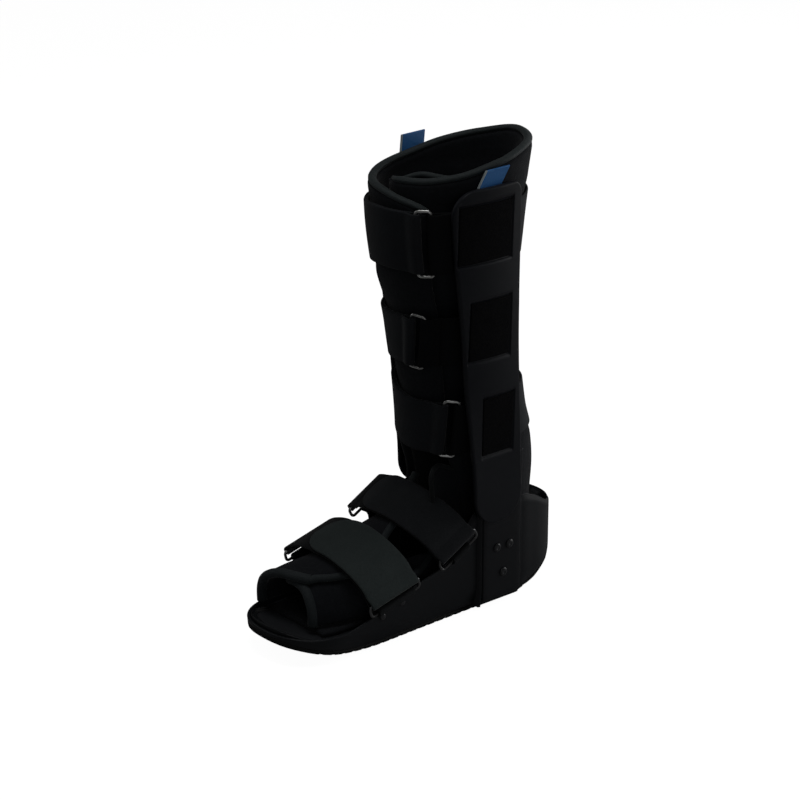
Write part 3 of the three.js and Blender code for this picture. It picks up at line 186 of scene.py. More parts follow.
def skin(name, points, close_rows=False, close_cols=False, uv=None):
    """A smooth mesh of quads between neighbours of a grid of points in millimetres. Its rows, its columns or
    both can run on from the last to the first."""
    rows, cols = points.shape[:2]
    index = np.arange(rows * cols).reshape(rows, cols)
    if close_rows:
        index = np.vstack([index, index[:1]])
    if close_cols:
        index = np.hstack([index, index[:, :1]])
    quads = np.stack([index[:-1, :-1], index[:-1, 1:], index[1:, 1:], index[1:, :-1]], -1).reshape(-1, 4)
    mesh = bpy.data.meshes.new(name)
    mesh.from_pydata((points.reshape(-1, 3) / 1000).tolist(), [], quads.tolist())
    if uv is not None:
        layer = mesh.uv_layers.new(name="cloth")
        corner = np.empty(len(mesh.loops), dtype=np.int32)
        mesh.loops.foreach_get("vertex_index", corner)
        layer.data.foreach_set("uv", uv.reshape(-1, 2)[corner].ravel())
    return joined(name, mesh)


def joined(name, mesh):
    """The mesh as an object, its doubled points merged, its faces turned outwards and shaded smooth."""
    work = bmesh.new()
    work.from_mesh(mesh)
    bmesh.ops.remove_doubles(work, verts=work.verts, dist=2e-6)
    bmesh.ops.dissolve_degenerate(work, edges=work.edges, dist=1e-7)
    bmesh.ops.recalc_face_normals(work, faces=work.faces)
    for face in work.faces:
        face.smooth = True
    work.to_mesh(mesh)
    work.free()
    piece = bpy.data.objects.new(name, mesh)
    bpy.context.collection.objects.link(piece)
    return piece


def new_group(name, inputs, outputs):
    """An empty shader group with named sockets; each input is (name, kind, value)."""
    group = bpy.data.node_groups.new(name, "ShaderNodeTree")
    kinds = {"colour": "NodeSocketColor", "value": "NodeSocketFloat", "vector": "NodeSocketVector"}
    for label, kind, value in inputs:
        socket = group.interface.new_socket(label, in_out="INPUT", socket_type=kinds[kind])
        socket.default_value = value
    for label, kind in outputs:
        group.interface.new_socket(label, in_out="OUTPUT", socket_type=kinds[kind])
    return group, group.nodes.new("NodeGroupInput"), group.nodes.new("NodeGroupOutput")


def wire(tree, *pairs):
    """Links each pair of sockets."""
    for source, target in pairs:
        tree.links.new(source, target)


def noise_node(tree, scale, detail, rough=0.55):
    """A noise texture on the piece's own object coordinates."""
    place = tree.nodes.new("ShaderNodeTexCoord")
    node = tree.nodes.new("ShaderNodeTexNoise")
    node.inputs["Scale"].default_value = scale
    node.inputs["Detail"].default_value = detail
    node.inputs["Roughness"].default_value = rough
    tree.links.new(place.outputs["Object"], node.inputs["Vector"])
    return node


def math_node(tree, operation, first, second=None):
    """A math node whose inputs are sockets or numbers."""
    node = tree.nodes.new("ShaderNodeMath")
    node.operation = operation
    for slot, value in enumerate([first, second]):
        if value is None:
            continue
        if isinstance(value, (int, float)):
            node.inputs[slot].default_value = value
        else:
            tree.links.new(value, node.inputs[slot])
    return node.outputs[0]


def mix_colour(tree, factor, first, second):
    """A colour between two colours."""
    node = tree.nodes.new("ShaderNodeMix")
    node.data_type = "RGBA"
    for slot, value in [(0, factor), (6, first), (7, second)]:
        if isinstance(value, (int, float)):
            node.inputs[slot].default_value = value
        elif isinstance(value, tuple):
            node.inputs[slot].default_value = value
        else:
            tree.links.new(value, node.inputs[slot])
    return node.outputs[2]


# The moulding's surface: a spark-eroded grain, cloudy handling marks, and corners rubbed a little lighter.
moulded, at_in, at_out = new_group(
    "moulded_skin",
    [("Colour", "colour", (0.015, 0.016, 0.019, 1)), ("Rubbed", "colour", (0.05, 0.052, 0.056, 1)),
     ("Roughness", "value", 0.45), ("Relief", "value", 0.12)],
    [("Colour", "colour"), ("Roughness", "value"), ("Normal", "vector")],
)
cloud = noise_node(moulded, 14, 4)
grain = noise_node(moulded, 1500, 2)
scuffs = noise_node(moulded, 70, 6, 0.7)
shape = moulded.nodes.new("ShaderNodeNewGeometry")
worn = math_node(moulded, "MULTIPLY", math_node(moulded, "SUBTRACT", shape.outputs["Pointiness"], 0.53), 9.0)
worn = math_node(moulded, "MINIMUM", math_node(moulded, "MAXIMUM", worn, 0.0), 0.6)
worn = math_node(moulded, "MULTIPLY", worn, scuffs.outputs["Fac"])
marked = math_node(moulded, "MULTIPLY", cloud.outputs["Fac"], 0.16)
tinted = mix_colour(moulded, marked, at_in.outputs["Colour"], at_in.outputs["Rubbed"])
tinted = mix_colour(moulded, worn, tinted, at_in.outputs["Rubbed"])
uneven = math_node(moulded, "MULTIPLY", math_node(moulded, "SUBTRACT", cloud.outputs["Fac"], 0.5), 0.22)
bumped = moulded.nodes.new("ShaderNodeBump")
bumped.inputs["Distance"].default_value = 0.0003
wire(
    moulded,
    (tinted, at_out.inputs["Colour"]),
    (math_node(moulded, "ADD", at_in.outputs["Roughness"], uneven), at_out.inputs["Roughness"]),
    (grain.outputs["Fac"], bumped.inputs["Height"]),
    (at_in.outputs["Relief"], bumped.inputs["Strength"]),
    (bumped.outputs["Normal"], at_out.inputs["Normal"]),
)


def finish(name, group, values, **shader):
    """A material: a Principled shader fed by one of the shared groups with its own values. What is the same
    all over the surface is set on the shader itself."""
    material = bpy.data.materials.new(name)
    material.use_nodes = True
    tree = material.node_tree
    body = tree.nodes["Principled BSDF"]
    for label, value in shader.items():
        body.inputs[label.replace("_", " ")].default_value = value
    node = tree.nodes.new("ShaderNodeGroup")
    node.node_tree = group
    for label, value in values.items():
        node.inputs[label].default_value = value
    wire(
        tree,
        (node.outputs["Colour"], body.inputs["Base Color"]),
        (node.outputs["Normal"], body.inputs["Normal"]),
    )
    if "Roughness" in node.outputs:
        wire(tree, (node.outputs["Roughness"], body.inputs["Roughness"]))
    return material


def fit(piece, material, slot, *nodes):
    """Gives a piece its material, lets it ride on the boot and stand for its CAD nodes. The slot is not used.
    """
    piece.data.materials.clear()
    piece.data.materials.append(material)
    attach(piece, "root")
    if nodes:
        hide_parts(*nodes)
    return piece


shell_plastic = finish(
    "charcoal_shell_plastic", moulded,
    {"Colour": (0.010, 0.0115, 0.0145, 1), "Rubbed": (0.045, 0.051, 0.056, 1),
     "Roughness": 0.42, "Relief": 0.1},
    Specular_IOR_Level=0.28,
)
boss_places = np.array([41.6, 42.0, 42.4, 44.7, 45.2, 45.7, 46.2, 89.8, 90.4, 93.4, 94.0, 94.5])
boss_turns = np.arccos(-2 * boss_places / sole_length)
half_turns = np.unique(np.concatenate([np.linspace(0, np.pi, 150), boss_turns]))
turns = np.concatenate([half_turns, 2 * np.pi - half_turns[-2:0:-1]])
y_mid = -(sole_length / 2) * np.cos(turns)
rim, low, floor = rim_height(y_mid), rocker(y_mid) + outsole_thick + piece_gap, inner_floor(y_mid)
rows = []
for share in (0.02, 0.5, 1.0):
    x, y = plan_ring(turns, flare(low) - 1.0)
    rows.append(np.stack([x * share, y, low], -1))
for share in np.concatenate([[0, 0.012, 0.03], np.linspace(0.07, 0.93, 16), [0.97]]):
    z = low + (rim - 2.0 - low) * share
    x, y = plan_ring(turns, flare(z) - 0.8 * max(0, 1 - share / 0.03))
    boss = ease(41.7, 42.1, y_mid) * (1 - ease(93.7, 94.3, y_mid))
    ridge = ease(41.9, 42.6, y_mid) * (1 - ease(44.8, 45.5, y_mid))
    face = np.where(z < ankle_wall - 1, strut_face + 3.0 * ridge, 0)
    rows.append(np.stack([np.sign(x) * np.maximum(np.abs(x), face * boss), y, z], -1))
lip = 2.6 - 1.2 * ease(40, 90, rim)
for angle in np.radians([0, 30, 60, 90, 120, 150, 180]):
    grow = -1.5 + (lip - 1.1) * np.cos(angle)
    reach = np.stack(plan_ring(turns, 0.0), -1)
    inward = np.stack(plan_ring(turns, -3.0), -1) - reach
    offset = (-grow / 3.0)[:, None] * inward
    height = rim - 1.6 + 1.6 * np.sin(angle)
    rows.append(np.concatenate([reach + offset, height[:, None]], -1))
for share in np.concatenate([[0.04], np.linspace(0.12, 0.86, 12)]):
    z = (rim - 2.2) * (1 - share) + (floor + 3) * share
    x, y = plan_ring(turns, flare(z) - shell_wall)
    rows.append(np.stack([x, y, z], -1))
for angle in np.radians([0, 30, 60, 90]):
    z = floor + 4 * (1 - np.sin(angle))
    x, y = plan_ring(turns, flare(floor + 3) - shell_wall - 4 * (1 - np.cos(angle)))
    rows.append(np.stack([x, y, z], -1))
for share in (0.5, 0.02):
    x, y = plan_ring(turns, flare(floor + 3) - shell_wall - 4)
    rows.append(np.stack([x * share, y, inner_floor(y)], -1))
rows = [rows[0] * np.array([0, 1, 1])] + rows[1:-1] + [rows[-1] * np.array([0, 1, 1])]
fit(skin("shell_moulding", np.array(rows), close_cols=True), shell_plastic, "shell_plastic", "sole_shell")

# Rubber outsole
# A black rubber rocker sole bonded under the shell, with straight cross ribs for grip.
rubber = finish(
    "black_sole_rubber", moulded,
    {"Colour": (0.010, 0.010, 0.011, 1), "Rubbed": (0.05, 0.05, 0.05, 1), "Roughness": 0.72, "Relief": 0.35},
    Specular_IOR_Level=0.2,
)
fine = np.concatenate([np.arange(-150, 130, 0.55), -159.5 * np.cos(np.linspace(0, 0.35, 12)),
                       159.5 * np.cos(np.linspace(0, 0.62, 22))])
along = np.unique(np.clip(fine, -159.5, 159.5))
phase = (along + 0.45 * sole_length + 1.7) / 11.0
in_groove = (np.abs((phase - np.floor(phase)) * 11.0 - 1.7) < 1.7) & (along > -142) & (along < 118)
turn = np.arccos(np.clip(-2 * along / sole_length, -1, 1))
loop = []
for side, share, level, cut in [
    (-1, 0.0, 0, 1.8), (-1, 0.5, 0, 1.8), (-1, 0.93, 0, 1.8), (-1, 1.0, 0.14, 0.4), (-1, 1.0, 0.5, 0),
    (-1, 1.0, 1.0, 0), (-1, 0.5, 1.0, 0), (1, 0.0, 1.0, 0), (1, 0.5, 1.0, 0), (1, 1.0, 1.0, 0),
    (1, 1.0, 0.5, 0), (1, 1.0, 0.14, 0.4), (1, 0.93, 0, 1.8), (1, 0.5, 0, 1.8),
]:
    z = rocker(along) + outsole_thick * level + np.where(in_groove, cut, 0)
    x, y = plan_ring(turn, flare(rocker(along) + outsole_thick * max(level, 0.05)))
    loop.append(np.stack([side * share * x, y, z], -1))
fit(skin("rubber_outsole", np.stack(loop, 1), close_cols=True), rubber, "outsole_rubber", "outsole")


# Footbed
# A flat pad of closed-cell foam cut to the inside of the shell, with a fine fabric skin.
def edged(count, reach):
    """Places from 0 to 1, closer at both ends, and the height of a quarter-round edge at each: the sine of a
    turn where the place is reach times one minus its cosine."""
    turn = np.radians([0, 18, 40, 65])
    start = reach * (1 - np.cos(turn))
    places = np.concatenate([start, np.linspace(reach, 1 - reach, count), 1 - start[::-1]])
    height = np.concatenate([np.sin(turn), np.ones(count), np.sin(turn)[::-1]])
    return places, height


def face_normals(points):
    """The unit normal at each point of a grid: the cross product of its row and column steps."""
    normal = np.cross(np.gradient(points, axis=0), np.gradient(points, axis=1))
    return normal / (np.linalg.norm(normal, axis=-1, keepdims=True) + 1e-9)


def pad(name, points, half, uv=None):
    """A closed pad about a middle surface: each point pushed both ways along its normal by half the
    thickness, which is nothing at the rim, so that the two faces meet there."""
    normal = face_normals(points)
    top = points + normal * half[..., None]
    bottom = points - normal * half[..., None]
    both = np.concatenate([top, bottom[:, ::-1]], axis=1)
    if uv is None:
        steps = np.linalg.norm(np.diff(points, axis=0), axis=-1).mean(1)
        across = np.linalg.norm(np.diff(points, axis=1), axis=-1).mean(0)
        u = np.concatenate([[0], np.cumsum(steps)])
        v = np.concatenate([[0], np.cumsum(across)])
        uv = np.stack(np.meshgrid(u, v, indexing="ij"), -1)
    return skin(name, both, close_cols=True, uv=np.concatenate([uv, uv[:, ::-1]], axis=1) / 1000)


foam_skin = finish(
    "footbed_foam", moulded,
    {"Colour": (0.024, 0.026, 0.030, 1), "Rubbed": (0.05, 0.052, 0.056, 1), "Roughness": 0.85, "Relief": 0.5},
    Specular_IOR_Level=0.2,
)
inset = 3.6 + shell_wall + 1.2
front, back = -sole_length / 2 + inset + 0.3, sole_length / 2 - 0.6 * 72
u, u_edge = edged(120, 0.008)
v, v_edge = edged(24, 0.025)
y = front + (back - front) * u
half = np.maximum(2.0, half_width(y, -inset))
points = np.stack([half[:, None] * (2 * v - 1)[None], np.repeat(y[:, None], len(v), 1),
                   np.repeat((inner_floor(y) + piece_gap + 2)[:, None], len(v), 1)], -1)
fit(pad("foam_footbed", points, 2.0 * np.minimum.outer(u_edge, v_edge)), foam_skin, "footbed_foam", "footbed")

# Side struts
# A flat aluminium stay in a moulded cover, riveted through the boss of the shell with three blind rivets.
strut_plastic = finish(
    "charcoal_strut_plastic", moulded,
    {"Colour": (0.011, 0.012, 0.0155, 1), "Rubbed": (0.05, 0.054, 0.06, 1),
     "Roughness": 0.42, "Relief": 0.14},
    Specular_IOR_Level=0.28,
)
upright_foot, upright_top, lean = 85.0, 398.0, 0.0325


def lean_x(z):
    """The struts' inner face: upright past the shell, then leaning out with the calf."""
    return strut_face + piece_gap + lean * np.maximum(0, z - upright_foot)


for side, sign in (("left", 1), ("right", -1)):
    u, u_edge = edged(40, 0.012)
    v, v_edge = edged(10, 0.03)
    z = 9 + 137 * u
    y = strut_centre + strut_width * (v - 0.5)
    points = np.stack([np.repeat(sign * (lean_x(z) + 1.5)[:, None], len(v), 1), np.repeat(y[None], len(z), 0),
                       np.repeat(z[:, None], len(v), 1)], -1)
    body = pad(f"riveted_strut_{side}", points, 1.5 * np.minimum.outer(u_edge, v_edge))
    fit(body, strut_plastic, "shell_plastic", f"strut_{side}")


def lathe(name, profile, centre, axis_sign, steps=28):
    """A turned piece that stands out along X: each profile point (radius, height) swept round the axis."""
    profile = np.array(profile, float)
    turn = np.linspace(0, 2 * np.pi, steps, endpoint=False)
    x = centre[0] + axis_sign * profile[:, 1][:, None] + 0 * turn
    y = centre[1] + profile[:, 0][:, None] * np.cos(turn)
    z = centre[2] + profile[:, 0][:, None] * np.sin(turn)
    return skin(name, np.stack([x, y, z], -1), close_cols=True)


rivet_finish = finish(
    "blackened_rivet", moulded,
    {"Colour": (0.022, 0.023, 0.026, 1), "Rubbed": (0.10, 0.10, 0.11, 1), "Roughness": 0.3, "Relief": 0.05},
)
dome = [
    (0, 0), (3.7, 0), (4.0, 0.25), (3.9, 0.7), (3.3, 1.2), (2.4, 1.5), (1.5, 1.58), (1.2, 1.35), (0.6, 1.3),
    (0, 1.3)]
for side, sign in (("left", 1), ("right", -1)):
    for k, (along_y, height) in enumerate([(-6, 58), (8.5, 58), (1.5, 32.5)], 1):
        spot = (sign * (lean_x(0) + 3.3), strut_centre + along_y, height)
        head = lathe(f"strut_rivet_{side}_{k}", dome, spot, sign)
        fit(head, rivet_finish, "shell_plastic", f"rivet_{side}_{k}")

# Uprights
# Long moulded covers, bent a little round the calf, with a round foot over the strut and three shallow
# windows that each hold a patch of hook tape. The right one sits a little further back than the left.
upright_plastic = finish(
    "charcoal_upright_plastic", moulded,
    {"Colour": (0.0092, 0.0106, 0.0150, 1), "Rubbed": (0.045, 0.049, 0.060, 1),
     "Roughness": 0.47, "Relief": 0.22},
    Specular_IOR_Level=0.26,
)
liner_height, calf_width, calf_depth = 419.0, 121.0, 150.0
leg_rows = np.array([
    (0.035, 0.222, 0.62, 0.74), (0.12, 0.222, 0.66, 0.83), (0.26, 0.222, 0.721, 0.88),
    (0.345, 0.218, 0.755, 0.845), (0.42, 0.204, 0.78, 0.775), (0.5, 0.19, 0.805, 0.745),
    (0.615, 0.163, 0.84, 0.715), (0.68, 0.156, 0.885, 0.755), (0.74, 0.148, 0.93, 0.82),
    (0.835, 0.146, 0.959, 0.905), (1.0, 0.157, 1.0, 1.0)])


def leg_column(column, z):
    """One column of the leg's table at a height: 1 centre, 2 width, 3 depth, each as a share."""
    return curve(leg_rows[:, 0], leg_rows[:, column], np.asarray(z) / liner_height)


def upright_edges(z, end=upright_top):
    """Front and back edge of an upright at a height: the table's edges, rounded at the foot and shoulders."""
    share = (z - upright_foot) / (upright_top - upright_foot)
    places = [0, 0.12, 0.25, 0.4, 0.6, 0.81, 1]
    front = sole_length * curve(places, [0.1, 0.097, 0.085, 0.068, 0.045, 0.017, 0], share)
    back = sole_length * curve(places, [0.27, 0.266, 0.26, 0.25, 0.242, 0.238, 0.232], share)
    foot = sole_length * 0.17 / 2

    def rounded(gap, radius):
        """How far a quarter circle of a radius draws an edge in, a gap away from its end."""
        into = np.clip(1 - gap / radius, 0, 1)
        return radius * (1 - np.sqrt(1 - into**2))

    draw = rounded(z - upright_foot, foot)
    front = front + np.minimum(foot - 0.2, draw + rounded(end - z, 24))
    back = back - np.minimum(foot - 0.2, draw + rounded(end - z, 11))
    return front, back


def upright_x(y, z):
    """An upright's inner face: leaning out, bent about the middle of the calf above the strut."""
    off = y - sole_length * leg_column(1, z)
    bent = np.clip((z - 146) / (upright_top - 146) / 0.3, 0, 1)
    return lean_x(z) + 3.3 - bent * off * off / 330


windows = np.array([(333, 384, 8, 63), (244, 297, 22, 65), (153, 206, 39, 72)], float)
for side, sign, stagger, end in (("left", 1, 0.0, upright_top), ("right", -1, 9.5, upright_top - 6)):
    ends = np.radians(np.linspace(0, 90, 14))
    z = np.concatenate([upright_foot + 27 * (1 - np.cos(ends)), np.linspace(113, 366, 110),
                        end - 24 * (1 - np.cos(ends[::-1]))])
    steps = np.array([-1.6, -1.1, -0.7, -0.2, 0.3])
    z = np.unique(np.concatenate([
        z, (windows[:, :1] - 1 - steps).ravel(), (windows[:, 1:2] + 1 + steps).ravel()]))
    front, back = upright_edges(z, end)
    front = front + (12 * ease(330, 398, z) if side == "right" else 0)
    corners = np.concatenate([[low_z - 4, high_z + 4] for low_z, high_z, _, _ in windows[::-1]])
    window_front = np.interp(z, corners, np.repeat(windows[::-1, 2], 2)) - 1
    window_back = np.interp(z, corners, np.repeat(windows[::-1, 3], 2)) + 1
    broad = back - front
    window_front = np.clip(window_front, front + np.minimum(4, 0.2 * broad), front + 0.4 * broad)
    window_back = np.clip(window_back, front + 0.6 * broad, back - np.minimum(4, 0.2 * broad))
    rim_part = np.array([0, 0.08, 0.22, 0.42, 0.7, 1.0])
    blocks = [front[:, None] + 1.7 * rim_part]
    blocks.append(np.linspace(front + 2.2, window_front - 1.7, 7).T)
    blocks.append(window_front[:, None] - np.array([1.2, 0.9, 0.5, 0.0, -0.4]))
    blocks.append(np.linspace(window_front + 1.2, window_back - 1.2, 16).T)
    blocks.append(window_back[:, None] + np.array([-0.4, 0.0, 0.5, 0.9, 1.2]))
    blocks.append(np.linspace(window_back + 1.7, back - 2.2, 7).T)
    blocks.append(back[:, None] - 1.7 * rim_part[::-1])
    y = np.sort(np.concatenate(blocks, 1), 1)
    y = np.clip(y, front[:, None], back[:, None])
    high = np.repeat(z[:, None], y.shape[1], 1)
    gap = np.minimum(y - front[:, None], back[:, None] - y)
    gap = np.minimum(gap, np.minimum(high - upright_foot, end - high))
    into = np.clip(1 - gap / 1.7, 0, 1)
    thick = 4.0 + 1.4 * (1 - ease(90, 150, high)) - 1.7 * (1 - np.sqrt(np.clip(1 - into**2, 0, 1)))
    sunk = np.zeros_like(high)
    for low_z, high_z, first, second in windows:
        deep = np.minimum(high - (low_z - 1), (high_z + 1) - high)
        deep = np.minimum(deep, np.minimum(y - (first - 1), (second + 1) - y))
        sunk = np.maximum(sunk, ease(-0.9, 0.1, deep))
    outer = upright_x(y, high) + thick - 1.8 * sunk
    inner = upright_x(y, high) + 0.3 + 1.6 * ease(0.2, 0.9, into) * (1 - ease(105, 140, high))
    top = np.stack([sign * outer, y + stagger, high], -1)
    under = np.stack([sign * inner, y + stagger, high], -1)
    body = skin(f"upright_cover_{side}", np.concatenate([top, under[:, ::-1]], 1), close_cols=True)
    work = bmesh.new()
    work.from_mesh(body.data)
    bmesh.ops.holes_fill(work, edges=[edge for edge in work.edges if edge.is_boundary])
    bmesh.ops.recalc_face_normals(work, faces=work.faces)
    work.to_mesh(body.data)
    work.free()
    fit(body, upright_plastic, "upright_plastic", f"upright_{side}")

# Hook tape patches
# Black hook tape with tiny stiff hooks in rows, stuck into the windows of the uprights.
hooks, at_in, at_out = new_group(
    "hook_rows",
    [("Colour", "colour", (0.004, 0.004, 0.005, 1)), ("Tips", "colour", (0.03, 0.03, 0.032, 1)),
     ("Relief", "value", 0.6)],
    [("Colour", "colour"), ("Normal", "vector")],
)
place = hooks.nodes.new("ShaderNodeTexCoord")
cells = hooks.nodes.new("ShaderNodeTexVoronoi")
cells.inputs["Scale"].default_value = 900
cells.inputs["Randomness"].default_value = 0.35
bumped = hooks.nodes.new("ShaderNodeBump")
bumped.inputs["Distance"].default_value = 0.0008
tip = math_node(hooks, "SUBTRACT", 0.55, cells.outputs["Distance"])
wire(
    hooks,
    (place.outputs["UV"], cells.inputs["Vector"]),
    (mix_colour(hooks, math_node(hooks, "MAXIMUM", tip, 0.0), at_in.outputs["Colour"], at_in.outputs["Tips"]),
     at_out.inputs["Colour"]),
    (tip, bumped.inputs["Height"]),
    (at_in.outputs["Relief"], bumped.inputs["Strength"]),
    (bumped.outputs["Normal"], at_out.inputs["Normal"]),
)
hook_tape = finish(
    "black_hook_tape", hooks, {"Colour": (0.0035, 0.0035, 0.0045, 1), "Tips": (0.018, 0.018, 0.02, 1)},
    Roughness=0.85, Specular_IOR_Level=0.08,
)
for side, sign, stagger in (("left", 1, 0.0), ("right", -1, 9.5)):
    for k, (low_z, high_z, first, second) in enumerate(windows, 1):
        u, u_edge = edged(26, 0.012)
        v, v_edge = edged(22, 0.012)
        z, y = np.meshgrid(low_z + (high_z - low_z) * u, first + (second - first) * v, indexing="ij")
        x = upright_x(y, z) + 4 - 1.8 + 0.3 + 0.45
        points = np.stack([sign * x, y + stagger, z], -1)
        body = pad(f"hook_tape_{side}_{k}", points, 0.45 * np.minimum.outer(u_edge, v_edge))
        fit(body, hook_tape, "hook_tape", f"hook_patch_{side}_{k}")

# Calf wrap of the liner
# Foam laminated between a brushed loop fabric and a soft lining, cut as one sheet that goes once round the
# calf and overlaps in front. It swells a little between the straps and is drawn in under them.
brushed, at_in, at_out = new_group(
    "brushed_loop_cloth",
    [("Colour", "colour", (0.009, 0.010, 0.012, 1)), ("Nap", "colour", (0.03, 0.032, 0.035, 1)),
     ("Relief", "value", 0.5)],
    [("Colour", "colour"), ("Normal", "vector")],
)
pile = noise_node(brushed, 1100, 3, 0.7)
tufts = noise_node(brushed, 260, 4, 0.65)
patches = noise_node(brushed, 22, 4, 0.6)
nap = math_node(brushed, "MULTIPLY", tufts.outputs["Fac"], pile.outputs["Fac"])
nap = math_node(brushed, "MULTIPLY", nap, 0.9)
nap = math_node(brushed, "MULTIPLY", nap, math_node(brushed, "ADD", 0.35, patches.outputs["Fac"]))
tufted = math_node(brushed, "MULTIPLY", tufts.outputs["Fac"], 1.6)
height = math_node(brushed, "ADD", pile.outputs["Fac"], tufted)
bumped = brushed.nodes.new("ShaderNodeBump")
bumped.inputs["Distance"].default_value = 0.0006
wire(
    brushed,
    (mix_colour(brushed, nap, at_in.outputs["Colour"], at_in.outputs["Nap"]), at_out.inputs["Colour"]),
    (height, bumped.inputs["Height"]),
    (at_in.outputs["Relief"], bumped.inputs["Strength"]),
    (bumped.outputs["Normal"], at_out.inputs["Normal"]),
)
liner_cloth = finish(
    "black_liner_cloth", brushed,
    {"Colour": (0.010, 0.0112, 0.0140, 1), "Nap": (0.042, 0.046, 0.053, 1), "Relief": 0.45},
    Roughness=0.9, Specular_IOR_Level=0.15, Sheen_Weight=0.12, Sheen_Roughness=0.4,
)
leg_pad, foot_pad, liner_sole_top = 8.0, 6.0, 25.2


def leg(angle, z, depth):
    """The leg's outer surface, in by a depth: an ellipse at each height, with angle 0 at the front and 90
    at +X."""
    turn = np.radians(angle)
    wide = leg_column(2, z) * calf_width / 2 - depth
    deep = leg_column(3, z) * calf_depth / 2 - depth
    y = leg_column(1, z) * sole_length - deep * np.cos(turn)
    return np.stack(np.broadcast_arrays(wide * np.sin(turn), y, z), -1)


calf_straps = [
    {"height": 0.84, "width": 54.0, "far": -5, "front": 0, "back": -2, "ring": 38.0, "tilt": 0.0},
    {"height": 0.618, "width": 46.0, "far": -5, "front": -2, "back": 12, "ring": 21.0, "tilt": -0.16},
    {"height": 0.422, "width": 47.0, "far": 12, "front": 1, "back": 2, "ring": 44.0, "tilt": -0.12},
]


def strap_height(strap, angle):
    """The height of a calf strap's middle line, for angles from 80 at the near side round to 400."""
    places = [80, 180, 315, 362, 400]
    at_side = strap["front"] + 0.45 * (strap["back"] - strap["front"])
    rises = [at_side, strap["back"], strap["far"], strap["front"], 0]
    return strap["height"] * liner_height + curve(places, rises, angle)


def swell(angle, z):
    """How far the wrap stands out between the straps, in millimetres: up to 1.6 halfway, 0 under each."""
    turn = np.where(angle < 81, angle + 360, angle)
    out = np.ones(np.broadcast(angle, z).shape)
    for strap in calf_straps:
        gap = np.abs(z - strap_height(strap, turn)) - strap["width"] / 2
        out = out * ease(-3, 14, gap)
    return 1.6 * out


wrap_depth = ([-14, 4, 22, 52, 78, 104, 400], [1.75, 1.25, 1.1, 1.0, 0.4, 0, 0])
wrap_rim = ([-14, 8, 34, 62, 92, 130, 170, 211, 240, 271, 315, 350, 379, 391, 400],
            [0.946, 0.952, 0.955, 0.964, 0.985, 1, 1, 0.98, 0.963, 0.944, 0.936, 0.933, 0.918, 0.908, 0.895])
wrap_hem = ([-14, 30, 52, 66, 74, 286, 294, 308, 330, 365, 400],
            [0.335, 0.325, 0.25, 0.06, 0, 0, 0.06, 0.25, 0.315, 0.328, 0.32])


def wrap_surface(u, v):
    """The calf wrap's middle surface: u round from the inner end to the outer end, v from hem to rim."""
    angle = -14 + 412 * u
    bottom = liner_sole_top + 0.9
    low_edge = bottom + curve(*wrap_hem, angle) * (liner_height - bottom)
    z = low_edge + (curve(*wrap_rim, angle) * liner_height - low_edge) * v
    layers = curve(*wrap_depth, angle)
    outside = ease(20, 60, angle)
    ripple = 0.5 * np.sin(z / 17 + angle / 23) * np.sin(angle / 13 + z / 41)
    ripple = ripple * ease(0, 0.1, v) * ease(0, 0.1, 1 - v)
    proud = outside * (swell(angle, z) + ripple - 0.3)
    return leg(angle, z, layers * (leg_pad + piece_gap) + leg_pad / 2 - proud)


u, u_edge = edged(250, 0.009)
v, v_edge = edged(130, 0.012)
points = wrap_surface(u[:, None], v[None])
wrap_piece = pad("liner_calf_wrap_cloth", points, 4.0 * np.minimum.outer(u_edge, v_edge))
fit(wrap_piece, liner_cloth, "liner_fabric", "liner_calf_wrap")


# Edge bindings
# A stretch tape folded over each raw edge of the liner and sewn down. At the rim, the tongue and the flaps it
# is a paler charcoal that catches the light as a soft line, and elsewhere it is of the liner's own cloth.
def tube(name, centre, across, over, closed=False, sides=14):
    """An oval tube along a path: each place has a centre and two half axes, swept round in a circle."""
    turn = np.linspace(0, 2 * np.pi, sides, endpoint=False)
    ring = np.cos(turn)[None, :, None] * across[:, None] + np.sin(turn)[None, :, None] * over[:, None]
    points = centre[:, None] + ring
    if not closed:
        first, last = (np.repeat(end[:, None], sides, 1) for end in (centre[:1], centre[-1:]))
        points = np.concatenate([first, points, last])
    length = np.concatenate([[0], np.cumsum(np.linalg.norm(np.diff(points[:, 0], axis=0), axis=-1))])
    uv = np.stack(np.meshgrid(length, turn * 3, indexing="ij"), -1) / 1000
    return skin(name, points, close_rows=closed, close_cols=True, uv=uv)


def binding(name, surface, u, v, thickness, width=7.0, plump=0.7, shift=0.5):
    """A folded tape along a route over a surface: an oval about the edge, its long axis in the surface. The
    inward way is found from the surface a small step towards its middle."""
    points = surface(u, v)
    to_middle = [(0.5 - place) * (np.abs(place - 0.5) > 0.45) for place in (u, v)]
    inner = surface(u + 0.01 * to_middle[0], v + 0.01 * to_middle[1])
    travel = np.gradient(points, axis=0)
    travel = travel / (np.linalg.norm(travel, axis=-1, keepdims=True) + 1e-9)
    inward = inner - points
    inward = inward - travel * np.sum(inward * travel, -1, keepdims=True)
    inward = inward / (np.linalg.norm(inward, axis=-1, keepdims=True) + 1e-9)
    over = np.cross(travel, inward)
    centre = points + inward * (width / 2 - shift - 1.0)
    return tube(name, centre, inward * width / 2, over * (thickness / 2 + plump))


binding_cloth = finish(
    "charcoal_edge_binding", brushed,
    {"Colour": (0.026, 0.035, 0.037, 1), "Nap": (0.08, 0.102, 0.106, 1), "Relief": 0.3},
    Roughness=0.65, Specular_IOR_Level=0.35, Sheen_Weight=0.2, Sheen_Roughness=0.35,
)


def along_line(count, first, last):
    """Even places between two pairs of u and v."""
    t = np.linspace(0, 1, count)
    return first[0] + (last[0] - first[0]) * t, first[1] + (last[1] - first[1]) * t


